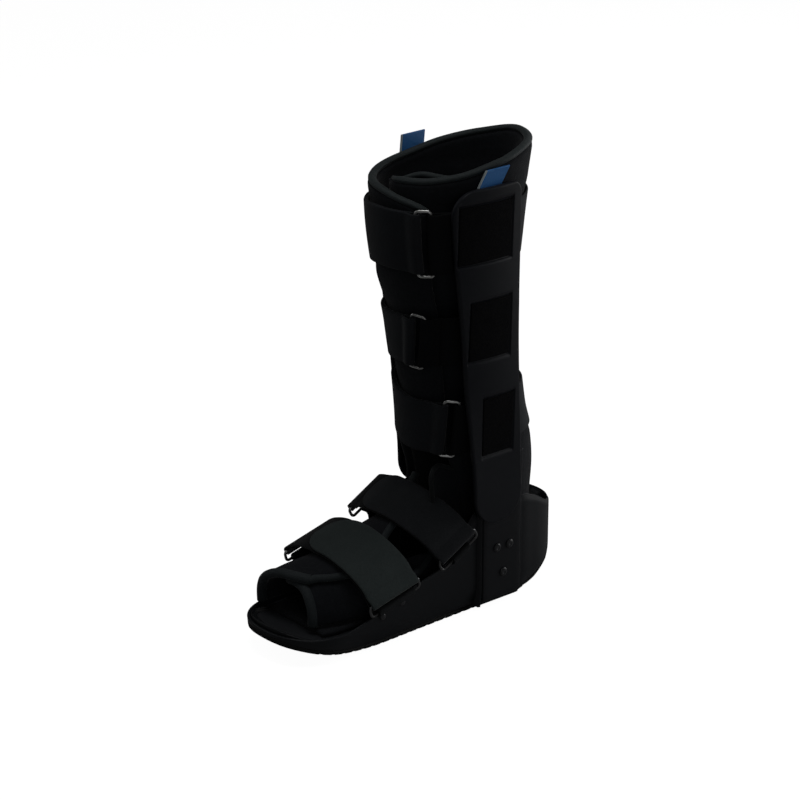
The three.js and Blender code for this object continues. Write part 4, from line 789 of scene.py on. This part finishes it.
u, v = along_line(260, (0.0, 1.0), (1.0, 1.0))
points = wrap_surface(u, v)
travel = np.gradient(points, axis=0)
travel /= np.linalg.norm(travel, axis=-1, keepdims=True)
over = np.cross(travel, [0, 0, 1.0])
over /= np.linalg.norm(over, axis=-1, keepdims=True)
up = np.cross(over, travel)
slim = 0.55 + 0.45 * ease(0, 0.05, u)[:, None]
rim_piece = tube("liner_rim_tape", points + up * 1.2 * slim, up * 2.7 * slim, over * 3.7 * slim)
fit(rim_piece, binding_cloth, "binding", "liner_rim_binding")
u, v = along_line(120, (1.0, 0.0), (1.0, 1.0))
fit(binding("liner_front_tape", wrap_surface, u, v, 7.6, width=7.0, plump=0.4), liner_cloth, "binding")
u, v = along_line(120, (0.0, 0.0), (0.0, 1.0))
fit(binding("liner_inner_tape", wrap_surface, u, v, 7.6, width=7.0, plump=0.4), liner_cloth, "binding")
u, v = along_line(200, (0.0, 0.0), (1.0, 0.0))
fit(binding("liner_hem_tape", wrap_surface, u, v, 7.6, width=7.0, plump=0.4), liner_cloth, "binding")

# Tongue pad
# A soft pad inside the front of the wrap that keeps the overlap off the shin.


def tongue_surface(u, v):
    """The pad's middle surface, one layer inside the wrap, from just past the front to the near side."""
    angle = -13 + 70 * u
    top = curve(*wrap_rim, angle) * liner_height - 1 + 3.5 * np.sin(np.pi * u)
    bulge = 2.5 + 10 * ease(0.35, 1, v)
    layers = (curve(*wrap_depth, angle) + 1) * (leg_pad + piece_gap)
    depth = layers + 2.5 + 0.96 + bulge * np.sin(np.pi * u) ** 0.8
    return leg(angle, top - 150 + 150 * v, depth)


u, u_edge = edged(40, 0.05)
v, v_edge = edged(50, 0.02)
half = 2.5 * np.minimum.outer(u_edge, v_edge)
tongue_piece = pad("liner_tongue_cloth", tongue_surface(u[:, None], v[None]), half)
fit(tongue_piece, liner_cloth, "liner_fabric", "liner_tongue")
u, v = along_line(70, (0.0, 1.0), (1.0, 1.0))
fit(binding("tongue_top_tape", tongue_surface, u, v, 5.0, width=5.5, plump=0.4), binding_cloth, "binding")

# Sole pad of the liner
# The flat foam sole that the liner's walls are sewn to.
inset = 8.0 + shell_wall + 2
front, back = -0.38 * sole_length, (0.222 + 0.74 * 75 / sole_length) * sole_length - 8
u, u_edge = edged(90, 0.01)
v, v_edge = edged(24, 0.03)
y = front + (back - front) * u
half = np.maximum(2.0, half_width(y, -inset))
points = np.stack([half[:, None] * (2 * v - 1)[None], np.repeat(y[:, None], len(v), 1),
                   np.repeat((inner_floor(y) + 4.9 + 2)[:, None], len(v), 1)], -1)
sole_piece = pad("liner_sole_cloth", points, 2.0 * np.minimum.outer(u_edge, v_edge))
fit(sole_piece, liner_cloth, "liner_fabric", "liner_sole")

# Foot flaps of the liner
# Two padded flaps sewn to the sole: the far one goes over the toes, the near one stands up under it, and
# the toes look out in front.
foot_rows = np.array([
    (-0.41, 0.74, 0.68, -0.09), (-0.36, 0.8, 0.7, -0.06), (-0.29, 0.85, 0.735, -0.02),
    (-0.195, 0.87, 0.798, 0), (-0.11, 0.85, 0.88, 0), (0.0, 0.8, 1.005, 0), (0.1, 0.76, 1.34, 0)])


def foot(side, turn, y, depth):
    """The foot's outer surface, in by a depth: a superellipse from the sole pad over the crown, with turn 90
    on top."""
    share = y / sole_length
    turn = np.radians(turn)
    power = 2 / 2.4
    lift = np.maximum(0, inner_floor(y) - floor_height)
    low_edge = liner_sole_top + piece_gap + lift
    wide = curve(foot_rows[:, 0], foot_rows[:, 1], share) * sole_width / 2 - depth
    tall = curve(foot_rows[:, 0], foot_rows[:, 2], share) * ankle_wall - depth - low_edge
    over = np.sign(np.cos(turn)) * np.abs(np.cos(turn)) ** power
    x = curve(foot_rows[:, 0], foot_rows[:, 3], share) * sole_width + side * wide * over
    z = low_edge + tall * np.abs(np.sin(turn)) ** power
    return np.stack(np.broadcast_arrays(x, y, z), -1)


def flap_surface(side, fronts, reaches, depth):
    """A flap's middle surface: u from its front edge back, v from the sole pad up and over the foot."""
    def surface(u, v):
        rough = fronts[1][0] + (0.078 - fronts[1][0]) * u
        turn = 1.5 + v * (curve(*reaches, np.minimum(rough, reaches[0][-1])) - 1.5)
        front = curve(*fronts, turn)
        y = (front + (0.078 - front) * u) * sole_length
        ripple = 0.5 * np.sin(u * 17 + v * 4) * np.sin(v * 9 + u * 5)
        return foot(side, turn, y, depth - ripple * ease(0, 0.2, v) * ease(0, 0.15, u))
    return surface


far_flap = flap_surface(
    -1, ([0, 50, 80, 105, 120, 130], [-0.4, -0.41, -0.40, -0.378, -0.35, -0.33]),
    ([-0.38, -0.35, -0.32, -0.29, -0.25, -0.2, -0.11, 0.0, 0.075],
     [113, 120, 124, 130, 134, 128, 106, 90, 74]),
    foot_pad / 2)
near_flap = flap_surface(
    1, ([0, 15, 45, 75, 100], [-0.392, -0.390, -0.386, -0.380, -0.380]),
    ([-0.41, -0.25, -0.19, -0.13, -0.06, 0.0, 0.075], [98, 98, 80, 30, 20, 26, 44]), foot_pad * 1.5 + 0.6)
flap_binding = finish(
    "charcoal_flap_binding", brushed,
    {"Colour": (0.022, 0.028, 0.031, 1), "Nap": (0.07, 0.086, 0.092, 1), "Relief": 0.3},
    Roughness=0.7, Specular_IOR_Level=0.3, Sheen_Weight=0.15, Sheen_Roughness=0.35,
)
for name, surface, node in (("far", far_flap, "liner_flap_right"), ("near", near_flap, "liner_flap_left")):
    u, u_edge = edged(90, 0.02)
    v, v_edge = edged(60, 0.03)
    half = 3.0 * np.minimum.outer(u_edge, v_edge)
    body = pad(f"liner_{name}_flap_cloth", surface(u[:, None], v[None]), half)
    fit(body, liner_cloth, "liner_fabric", node)
    u, v = along_line(90, (0.0, 0.0), (0.0, 1.0))
    fit(binding(f"liner_{name}_toe_tape", surface, u, v, 6.0, width=9.5, plump=1.1), flap_binding, "binding")
    u, v = along_line(120, (0.0, 1.0), (1.0, 1.0))
    fit(binding(f"liner_{name}_top_tape", surface, u, v, 6.0, width=7.0, plump=0.4), flap_binding, "binding")

# Ankle gusset
# A thin padded panel of the lining that closes the notch between the calf wrap and the near foot flap. It is
# sewn to the inside of both and bound at its edge, and its round top stands in the opening over the instep.
gusset = np.array([
    (10, 138), (6.5, 133), (6.5, 126), (8, 118), (9.5, 108), (10, 95), (10, 80), (11, 68), (16, 63), (30, 62),
    (44, 64), (47, 72), (47, 95), (47, 120), (45, 130), (33, 133), (27, 135), (22, 138), (16, 140)], float)
for _ in range(3):
    following = np.roll(gusset, -1, 0)
    gusset = np.stack([0.75 * gusset + 0.25 * following, 0.25 * gusset + 0.75 * following], 1).reshape(-1, 2)
gusset_centre = np.array([27.0, 100.0])


def gusset_x(y, z):
    """The gusset's middle surface: against the wrap's inner face behind, drawn in behind the flap below."""
    bowed = curve([6, 12, 19, 28, 34, 45], [28, 25.8, 25, 25.2, 25.8, 27.2], y)
    return bowed - 6 * (1 - ease(75, 100, z)) * (1 - ease(24, 42, y))


rings = [(share, -90) for share in (0.02, 0.25, 0.5, 0.75, 0.9)]
rings += [(1.0, turn) for turn in (-60, -30, 0, 30, 60)]
rings += [(share, 90) for share in (0.9, 0.75, 0.5, 0.25, 0.02)]
body = []
for share, turn in rings:
    round_edge, half_thick = np.cos(np.radians(turn)), 1.6 * np.sin(np.radians(turn))
    shrunk = gusset_centre + (gusset - gusset_centre) * share * (0.97 + 0.03 * round_edge)
    body.append(np.stack([gusset_x(*shrunk.T) + half_thick, *shrunk.T], -1))
body[0][:] = body[0].mean(0)
body[-1][:] = body[-1].mean(0)
gusset_piece = skin("ankle_gusset_cloth", np.array(body), close_cols=True)
fit(gusset_piece, liner_cloth, "liner_fabric")
centre = np.stack([gusset_x(*gusset.T), *gusset.T], -1)
along_edge = np.roll(centre, -1, 0) - np.roll(centre, 1, 0)
along_edge /= np.linalg.norm(along_edge, axis=1, keepdims=True)
sideways = np.cross(along_edge, [1.0, 0, 0])
gusset_binding = finish(
    "dark_gusset_binding", brushed,
    {"Colour": (0.013, 0.015, 0.016, 1), "Nap": (0.042, 0.048, 0.051, 1), "Relief": 0.3},
    Roughness=0.75, Specular_IOR_Level=0.2, Sheen_Weight=0.1, Sheen_Roughness=0.4,
)
over_edge = np.cross(sideways, along_edge)
gusset_tape = tube("ankle_gusset_tape", centre, sideways * 1.9, over_edge * 2.3, closed=True)
fit(gusset_tape, gusset_binding, "binding")

# Calf straps
# Loop-faced tape that lies round the wrap under the uprights, goes through a wire ring in front and folds
# back. A plain black webbing holds the ring from the other side.
tape, at_in, at_out = new_group(
    "loop_tape",
    [("Colour", "colour", (0.011, 0.012, 0.014, 1)), ("Nap", "colour", (0.035, 0.038, 0.041, 1)),
     ("Shade_under", "value", 1.0), ("Fold", "value", 0.0), ("Selvedge", "value", -1.0), ("Relief", "value", 0.5)],
    [("Colour", "colour"), ("Normal", "vector")],
)
place = tape.nodes.new("ShaderNodeTexCoord")
split = tape.nodes.new("ShaderNodeSeparateXYZ")
tape.links.new(place.outputs["UV"], split.inputs["Vector"])
# Along the tape before Fold, which is the layer under the folded-back end, the colour is painted near-black:
# painted shade under the fold.
before = math_node(tape, "LESS_THAN", split.outputs["X"], at_in.outputs["Fold"])
# A narrow strip along one long edge is painted pale: a painted highlight on the edge of the fold.
painted_edge_highlight = math_node(tape, "LESS_THAN", split.outputs["Y"], at_in.outputs["Selvedge"])
stretch = tape.nodes.new("ShaderNodeMapping")
stretch.inputs["Scale"].default_value = (420, 1500, 1)
threads = tape.nodes.new("ShaderNodeTexNoise")
threads.inputs["Scale"].default_value = 1.0
threads.inputs["Detail"].default_value = 3
fuzz = noise_node(tape, 900, 4, 0.7)
shade = noise_node(tape, 30, 4, 0.6)
nap = math_node(tape, "MULTIPLY", threads.outputs["Fac"], math_node(tape, "ADD", 0.1, shade.outputs["Fac"]))
woven = mix_colour(tape, nap, at_in.outputs["Colour"], at_in.outputs["Nap"])
woven = mix_colour(tape, painted_edge_highlight, woven, (0.62, 0.70, 0.72, 1))
height = math_node(tape, "ADD", threads.outputs["Fac"], math_node(tape, "MULTIPLY", fuzz.outputs["Fac"], 0.8))
painted_shade_under_fold = math_node(tape, "MULTIPLY", before, at_in.outputs["Shade_under"])
bumped = tape.nodes.new("ShaderNodeBump")
bumped.inputs["Distance"].default_value = 0.0004
wire(
    tape,
    (place.outputs["UV"], stretch.inputs["Vector"]),
    (stretch.outputs["Vector"], threads.inputs["Vector"]),
    (mix_colour(tape, painted_shade_under_fold, woven, (0.004, 0.005, 0.006, 1)), at_out.inputs["Colour"]),
    (height, bumped.inputs["Height"]),
    (at_in.outputs["Relief"], bumped.inputs["Strength"]),
    (bumped.outputs["Normal"], at_out.inputs["Normal"]),
)
strap_cloth = finish(
    "black_strap_tape", tape,
    {"Colour": (0.012, 0.0135, 0.0165, 1), "Nap": (0.043, 0.048, 0.056, 1), "Relief": 0.4},
    Roughness=0.85, Specular_IOR_Level=0.2, Sheen_Weight=0.15, Sheen_Roughness=0.4,
)
# Black webbing, painted darker still so that it also stands for the shade in the gap at the ring.
anchor_cloth = finish(
    "black_ring_webbing_and_shade", tape,
    {"Colour": (0.004, 0.0042, 0.005, 1), "Nap": (0.016, 0.017, 0.019, 1), "Relief": 0.5},
    Roughness=0.85, Specular_IOR_Level=0.15,
)
strap_thick, wire_thick = 2.0, 2.6
lower_lift = 1.0 + strap_thick / 2
upper_lift = lower_lift + strap_thick + piece_gap
bar_clear = wire_thick / 2 + 1.0 + strap_thick / 2
ring_lift = lower_lift + wire_thick / 2 + 1.6 + strap_thick / 2


def ring_radius(strap):
    """Millimetres along the leg for each radian of angle, beside a strap's ring."""
    z = strap["height"] * liner_height
    first, last = leg(strap["ring"] - 1, z, -ring_lift), leg(strap["ring"] + 1, z, -ring_lift)
    return np.linalg.norm(last - first) / np.radians(2)


def leg_tape(name, strap, angle, lift, narrow, thickness):
    """A tape on the leg: a path of angle and lift, carried across the tape's width so that it follows the
    calf. The ring's tilt leans it, fading away from the ring."""
    across, edge = edged(9, 0.02)
    turn = np.where(angle < 81, angle + 360, angle)
    near = np.clip(1 - np.abs(turn - 360 - strap["ring"]) / 60, 0, 1)
    share = (across - 0.5)[None] * narrow[:, None]
    swing = np.degrees(strap["tilt"] * share * strap["width"] * near[:, None] / ring_radius(strap))
    z = strap_height(strap, turn)[:, None] + share * strap["width"]
    points = leg(angle[:, None] - swing, z, -lift[:, None])
    middle = points[:, len(across) // 2]
    length = np.concatenate([[0], np.cumsum(np.linalg.norm(np.diff(middle, axis=0), axis=-1))])
    ends = np.minimum(length, length[-1] - length)
    end = np.sqrt(1 - np.clip(1 - ends / (thickness / 2), 0, 1) ** 2)
    uv = np.stack(np.meshgrid(length, across * strap["width"], indexing="ij"), -1)
    return pad(name, points, thickness / 2 * np.minimum.outer(end, edge), uv=uv)


def smoothed(values, passes=3):
    """A path's numbers with their kinks eased: each one averaged with its neighbours a few times."""
    values = np.array(values, float)
    for _ in range(passes):
        values[1:-1] = (values[:-2] + 2 * values[1:-1] + values[2:]) / 4
    return values


for k, strap in enumerate(calf_straps, 1):
    radius = ring_radius(strap)
    half_ring = np.degrees((16 - wire_thick) / 2 / radius)
    bar = strap["ring"] - half_ring + 360
    half_turn = np.radians(np.linspace(-90, 90, 25))
    around = bar + np.degrees(bar_clear * np.cos(half_turn) / radius)
    over_bar = lower_lift + (bar_clear + 0.4) * (1 + np.sin(half_turn))
    reach = 10.0
    angle = np.concatenate([
        np.arange(86, bar - reach, 1.5), np.linspace(bar - reach, bar, 12)[:-1], around,
        np.linspace(bar, bar - reach, 12)[1:], np.arange(bar - reach - 1.5, 299, -1.5),
        [299.2, 298.6, 298.0]])
    down = np.linspace(0, 1, 12)
    rest = len(np.arange(bar - reach - 1.5, 299, -1.5)) + 3
    lift = np.concatenate([
        np.full(len(np.arange(86, bar - reach, 1.5)), lower_lift), np.full(11, lower_lift), over_bar,
        over_bar[-1] + (upper_lift - over_bar[-1]) * ease(0, 1, down[1:]), np.full(rest, upper_lift)])
    narrow = np.ones(len(angle))
    narrow[-12:] = np.sqrt(1 - (np.linspace(0, 0.85, 12)) ** 2)
    narrow[-12:] = 0.55 + 0.45 * narrow[-12:]
    piece = leg_tape(f"calf_tape_{k}", strap, smoothed(angle), smoothed(lift), narrow, strap_thick)
    fit(piece, strap_cloth, "strap_fabric", f"calf_strap_{k}")
    bar = strap["ring"] + half_ring
    around = bar - np.degrees(bar_clear * np.cos(half_turn[::-1]) / radius)
    over_bar = lower_lift + (bar_clear + 0.4) * (1 + np.sin(half_turn[::-1]))
    angle = np.concatenate([np.linspace(bar + 14, bar, 16)[:-1], around, np.linspace(bar, 80, 40)[1:]])
    rising = upper_lift + (over_bar[0] - upper_lift) * ease(0, 1, np.linspace(0, 1, 16))[:-1]
    lift = np.concatenate([rising, over_bar, np.full(39, lower_lift)])
    narrow = np.ones(len(angle))
    piece = leg_tape(f"ring_webbing_{k}", strap, smoothed(angle, 2), smoothed(lift, 2), narrow, strap_thick)
    fit(piece, anchor_cloth, "strap_fabric", f"calf_anchor_{k}")

# Wire rings of the calf straps
# Nickel-plated steel wire bent to a rectangle and welded.
plated, at_in, at_out = new_group(
    "plated_wire", [("Colour", "colour", (0.6, 0.61, 0.6, 1)), ("Roughness", "value", 0.2)],
    [("Colour", "colour"), ("Roughness", "value"), ("Normal", "vector")])
tarnish = noise_node(plated, 220, 4)
dulled = math_node(plated, "MULTIPLY", tarnish.outputs["Fac"], 0.15)
bumped = plated.nodes.new("ShaderNodeBump")
bumped.inputs["Distance"].default_value = 0.0001
bumped.inputs["Strength"].default_value = 0.2
wire(
    plated,
    (mix_colour(plated, math_node(plated, "MULTIPLY", tarnish.outputs["Fac"], 0.4), at_in.outputs["Colour"],
                (0.3, 0.3, 0.3, 1)), at_out.inputs["Colour"]),
    (math_node(plated, "ADD", at_in.outputs["Roughness"], dulled), at_out.inputs["Roughness"]),
    (tarnish.outputs["Fac"], bumped.inputs["Height"]),
    (bumped.outputs["Normal"], at_out.inputs["Normal"]),
)
steel_wire = finish(
    "nickel_plated_wire", plated, {"Colour": (0.86, 0.87, 0.85, 1), "Roughness": 0.26}, Metallic=1.0)


def wire_ring(name, centre, across, along, width, length):
    """A closed loop of round wire: a rectangle with rounded corners in the plane of two directions."""
    corner = 3.2
    w, l = (width - wire_thick) / 2 - corner, (length - wire_thick) / 2 - corner
    out = np.cross(across, along)
    path, radial = [], []
    for k, (a, b) in enumerate([(w, l), (-w, l), (-w, -l), (w, -l)]):
        turn = np.radians(90 * k + np.linspace(0, 90, 9))[:, None]
        way = across * np.cos(turn) + along * np.sin(turn)
        path.append(centre + across * a + along * b + way * corner)
        radial.append(way)
    path, radial = np.concatenate(path), np.concatenate(radial)
    side = np.tile(out, (len(path), 1)) * wire_thick / 2
    return tube(name, path, radial * wire_thick / 2, side, closed=True, sides=16)


for k, strap in enumerate(calf_straps, 1):
    half_ring = np.degrees((16 - wire_thick) / 2 / ring_radius(strap))
    z = float(strap_height(strap, strap["ring"] + 360))
    first, last = (leg(strap["ring"] + half_ring * s, z, -ring_lift) for s in (-1, 1))
    length = strap["width"] + 2 * wire_thick + 2.6
    across = (last - first) / np.linalg.norm(last - first)
    up = leg(strap["ring"], z + 0.4 * length, -ring_lift) - leg(strap["ring"], z - 0.4 * length, -ring_lift)
    up = up / np.linalg.norm(up) - across * strap["tilt"]
    up /= np.linalg.norm(up)
    square = across - up * np.dot(across, up)
    square /= np.linalg.norm(square)
    ring = wire_ring(f"calf_wire_{k}", (first + last) / 2, square, up, 16, length)
    fit(ring, steel_wire, "steel_wire", f"calf_ring_{k}")

# Foot straps
# Wider loop tape over the forefoot and a narrower one over the instep, each looped on a ring at the far side,
# round a ring at the near side and folded back to a rounded end.
foot_straps = [
    {"name": "forefoot", "width": 52.0, "slope": 14.0, "along": -0.187, "tip": -0.2, "tab": 0.8,
     "rivets": (-0.22, 0.22), "height": [0.675, 0.775, 0.838, 0.845, 0.8, 0.69, 0.53]},
    {"name": "instep", "width": 42.0, "slope": 29.0, "along": 0.034, "tip": -0.42, "tab": 0.5,
     "rivets": (0.1,), "height": [0.925, 0.995, 1.05, 1.055, 1.015, 0.915, 0.77]},
]
strap_places, ring_span = [-1, -0.8, -0.4, 0, 0.4, 0.78, 1], 113.0


def foot_line(strap):
    """The strap's middle line from bar to bar at even steps of length, in the plane square to its bars, with
    its directions: along the line, along the bars, and outwards."""
    slope = np.radians(strap["slope"])
    share = np.sin(np.linspace(-np.pi / 2, np.pi / 2, 400))
    z = curve(strap_places, strap["height"], share) * ankle_wall
    y = strap["along"] * sole_length - (z - strap["height"][-1] * ankle_wall) * np.tan(slope)
    line = np.stack([share * ring_span / 2, y, z], -1)
    run = np.concatenate([[0], np.cumsum(np.linalg.norm(np.diff(line, axis=0), axis=-1))])
    even = np.linspace(0, run[-1], 300)
    line = np.stack([np.interp(even, run, line[:, k]) for k in range(3)], -1)
    along = np.gradient(line, axis=0)
    along /= np.linalg.norm(along, axis=-1, keepdims=True)
    bars = np.array([0, np.cos(slope), np.sin(slope)])
    out = np.cross(along, bars)
    return line, along, bars, out / np.linalg.norm(out, axis=-1, keepdims=True), run[-1]


def tape_strip(name, centre, bars, half_widths, thickness, drape=0.0):
    """A flat tape along a path: carried across its width along the bars' direction, with its long edges
    curled down a little by drape times the square of the way across."""
    across, edge = edged(15, 0.02)
    side = (2 * across - 1)[None, :, None] * half_widths[:, None, None]
    travel = np.gradient(centre, axis=0)
    travel /= np.linalg.norm(travel, axis=-1, keepdims=True) + 1e-9
    out = np.cross(bars, travel)
    points = centre[:, None] + side * bars - out[:, None] * (drape * (2 * across - 1) ** 2)[None, :, None]
    length = np.concatenate([[0], np.cumsum(np.linalg.norm(np.diff(centre, axis=0), axis=-1))])
    ends = np.minimum(length, length[-1] - length)
    end = np.sqrt(1 - np.clip(1 - ends / (thickness / 2), 0, 1) ** 2)
    uv = np.stack(np.broadcast_arrays(length[:, None], side[..., 0]), -1)
    return pad(name, points, thickness / 2 * np.minimum.outer(end, edge), uv=uv)


foot_cloths = [("charcoal_foot_tape", (0.030, 0.040, 0.040, 1), (0.085, 0.105, 0.104, 1)),
               ("dark_instep_tape", (0.013, 0.0145, 0.017, 1), (0.045, 0.050, 0.056, 1))]
for strap, (cloth_name, base, nap) in zip(foot_straps, foot_cloths):
    line, along, bars, out, length = foot_line(strap)
    count = len(line)
    loop = wire_thick / 2 + 0.5 + strap_thick / 2
    run = np.linspace(0, length, count)
    near, far = 1 - ease(0, 16, length - run), 1 - ease(0, 16, run)
    layer = loop * (far - near)
    under = strap_thick + piece_gap
    arc = np.radians(np.linspace(-90, 90, 21))[:, None]
    start = int(round(14.0 / length * count))
    over = np.maximum(layer + under, loop * near)
    tip_at = int(round((strap["tip"] + 1) / 2 * count))
    tip_at = tip_at - int(round(0.95 * strap["width"] / 2 / length * count))
    path = [
        (line + out * np.minimum(layer - under, -0.5 * loop)[:, None])[start:2:-1],
        line[0] - along[0] * loop * np.cos(arc) + out[0] * loop * np.sin(arc),
        (line + out * layer[:, None])[3:-3],
        line[-1] + along[-1] * loop * np.cos(arc) + out[-1] * loop * np.sin(arc),
        (line + out * over[:, None])[-4:tip_at:-1],
    ]
    centre = np.concatenate(path)
    centre = np.stack([smoothed(centre[:, k], 4) for k in range(3)], -1)
    run = np.concatenate([[0], np.cumsum(np.linalg.norm(np.diff(centre, axis=0), axis=-1))])
    left = run[-1] - run
    half = strap["width"] / 2
    into = np.clip(1 - left / (1.1 * half), 0, 1)
    widths = half * np.clip(np.sqrt(1 - into**2.1), 0.04, 1)
    piece = tape_strip(f"{strap['name']}_tape", centre, bars, widths, strap_thick)
    # The tape before the fold is painted darker as shade, so that the folded-back end stands out on it.
    folded_at = np.cumsum([np.linalg.norm(np.diff(part, axis=0), axis=-1).sum() for part in path[:4]])[-1]
    cloth = finish(cloth_name, tape, {"Colour": base, "Nap": nap, "Fold": folded_at / 1000, "Relief": 0.45},
                   Roughness=0.85, Specular_IOR_Level=0.2, Sheen_Weight=0.2, Sheen_Roughness=0.4)
    fit(piece, cloth, "foot_strap_fabric", f"{strap['name']}_strap")

# Rings and webbing tabs of the foot straps
# A wire ring hangs on a short webbing tab at each side. The tab goes down inside the shell's wall, where
# one or two small rivets hold it.
webbing_cloth = finish(
    "black_webbing", tape,
    {"Colour": (0.010, 0.011, 0.0125, 1), "Nap": (0.04, 0.043, 0.046, 1), "Relief": 0.7},
    Roughness=0.85, Specular_IOR_Level=0.2)
# The near rings take a darker copy of the plated wire, painted shade; the far rings keep the bright one.
shaded_wire = finish(
    "shaded_plated_wire", plated, {"Colour": (0.11, 0.113, 0.116, 1), "Roughness": 0.34}, Metallic=1.0)
webbing_thick = 1.8
small_dome = [(0, 0), (2.8, 0), (3.0, 0.2), (2.8, 0.65), (2.0, 1.05), (1.0, 1.2), (0, 1.2)]
for strap in foot_straps:
    line, along, bars, out, length = foot_line(strap)
    for side, sign, bar in (("left", 1, line[-1]), ("right", -1, line[0])):
        down = np.cross(bars, [-1.0, 0, 0])
        down = down if down[2] < 0 else -down
        tab_bar = bar + down * (12 - wire_thick)
        ring = wire_ring(f"{strap['name']}_wire_{side}", (bar + tab_bar) / 2, down, bars, 12,
                         strap["width"] + 2 * wire_thick + 0.8)
        fit(ring, steel_wire if side == "right" else shaded_wire, "steel_wire", f"{strap['name']}_ring_{side}")
        clear = wire_thick / 2 + 0.5 + webbing_thick / 2
        across, edge = edged(13, 0.03)
        w = (across - 0.5) * strap["tab"] * strap["width"]
        spot = tab_bar + w[:, None] * bars
        rim = rim_height(spot[:, 1])
        top = np.maximum(np.maximum(rim_height(spot[:, 1] - 4), rim), rim_height(spot[:, 1] + 4))

        def inside(z):
            """The x of webbing flat against the inside of the shell's wall."""
            return sign * (half_width(spot[:, 1], flare(z)) - shell_wall - piece_gap - webbing_thick / 2)

        stations = []
        for below in (9, 6.5, 4.5, 2.0):
            z = np.minimum(rim, spot[:, 2]) - below
            stations.append(np.stack([inside(z) - sign * piece_gap, spot[:, 1], z], -1))
        z = np.maximum(top + 2 * webbing_thick, spot[:, 2] - 0.5 * clear)
        stations.append(np.stack([inside(z) + sign * 0.6, spot[:, 1], z], -1))
        for a in np.radians(np.linspace(-110, 150, 16)):
            stations.append(spot + np.array([sign * clear * np.cos(a), 0, clear * np.sin(a)]))
        stations = np.array(stations)
        keys = np.linspace(0, 1, len(stations))
        dense = np.linspace(0, 1, 70)
        flat = stations.reshape(len(stations), -1)
        points = np.stack([np.interp(dense, keys, flat[:, k]) for k in range(flat.shape[1])], -1)
        points = points.reshape(70, len(across), 3)
        for _ in range(3):
            points[1:-1] = (points[:-2] + 2 * points[1:-1] + points[2:]) / 4
        run = np.concatenate([[0], np.cumsum(np.linalg.norm(np.diff(points[:, 6], axis=0), axis=-1))])
        end = np.sqrt(1 - np.clip(1 - np.minimum(run, run[-1] - run) / 0.9, 0, 1) ** 2)
        body = pad(f"{strap['name']}_webbing_{side}", points, 0.9 * np.minimum.outer(end, edge))
        fit(body, webbing_cloth, "strap_fabric", f"{strap['name']}_tab_{side}")
        for k, share in enumerate(strap["rivets"], 1):
            place_at = tab_bar + share * strap["width"] * bars
            z = min(float(rim_height(place_at[1])), place_at[2]) - 0.55 * 9
            x = sign * (float(half_width(place_at[1], flare(z))) + 2 * piece_gap)
            head = lathe(f"{strap['name']}_rivet_{side}_{k}", small_dome, (x, place_at[1], z), sign)
            fit(head, rivet_finish, "shell_plastic", f"{strap['name']}_tab_rivet_{side}_{k}")

# Blue pull tabs
# A loop of bright blue woven tape at the top of each upright, to pull the liner open with.
# One long edge of the tape is painted pale, a painted highlight on the edge of the folded loop.
blue_tape = finish(
    "blue_pull_tape", tape,
    {"Colour": (0.020, 0.15, 0.48, 1), "Nap": (0.07, 0.345, 0.82, 1), "Selvedge": -0.0121, "Relief": 0.6},
    Roughness=0.5)
for side, sign, stagger in (("left", 1, 0.0), ("right", -1, 9.5)):
    middle = sole_length * 0.232 / 2 + stagger + (4 if side == "left" else 12.5)
    shear, top = (9, 411.4) if side == "left" else (3.5, 411.6)
    loop = 0.6
    arc = np.radians(np.linspace(180, 0, 13))
    heights = np.concatenate([np.linspace(384, top, 24), top + loop * np.sin(arc), np.linspace(top, 384, 24)])
    offset = np.concatenate([np.full(24, -loop), loop * np.cos(arc), np.full(24, loop)])
    above = np.maximum(0, heights - upright_top)
    on_leg = leg(90, np.minimum(heights, upright_top), 0)[:, 0] + 0.3 + 0.6 + 0.3
    x = sign * (on_leg + 0.12 * above + offset)
    centre = np.stack([x, middle + shear * above / 17, heights], -1)
    widths = np.full(len(centre), 13.25)
    piece = tape_strip(f"blue_pull_tab_{side}", centre, np.array([0, 1.0, 0]), widths, 0.6)
    fit(piece, blue_tape, "blue_tape", f"pull_tab_{side}")
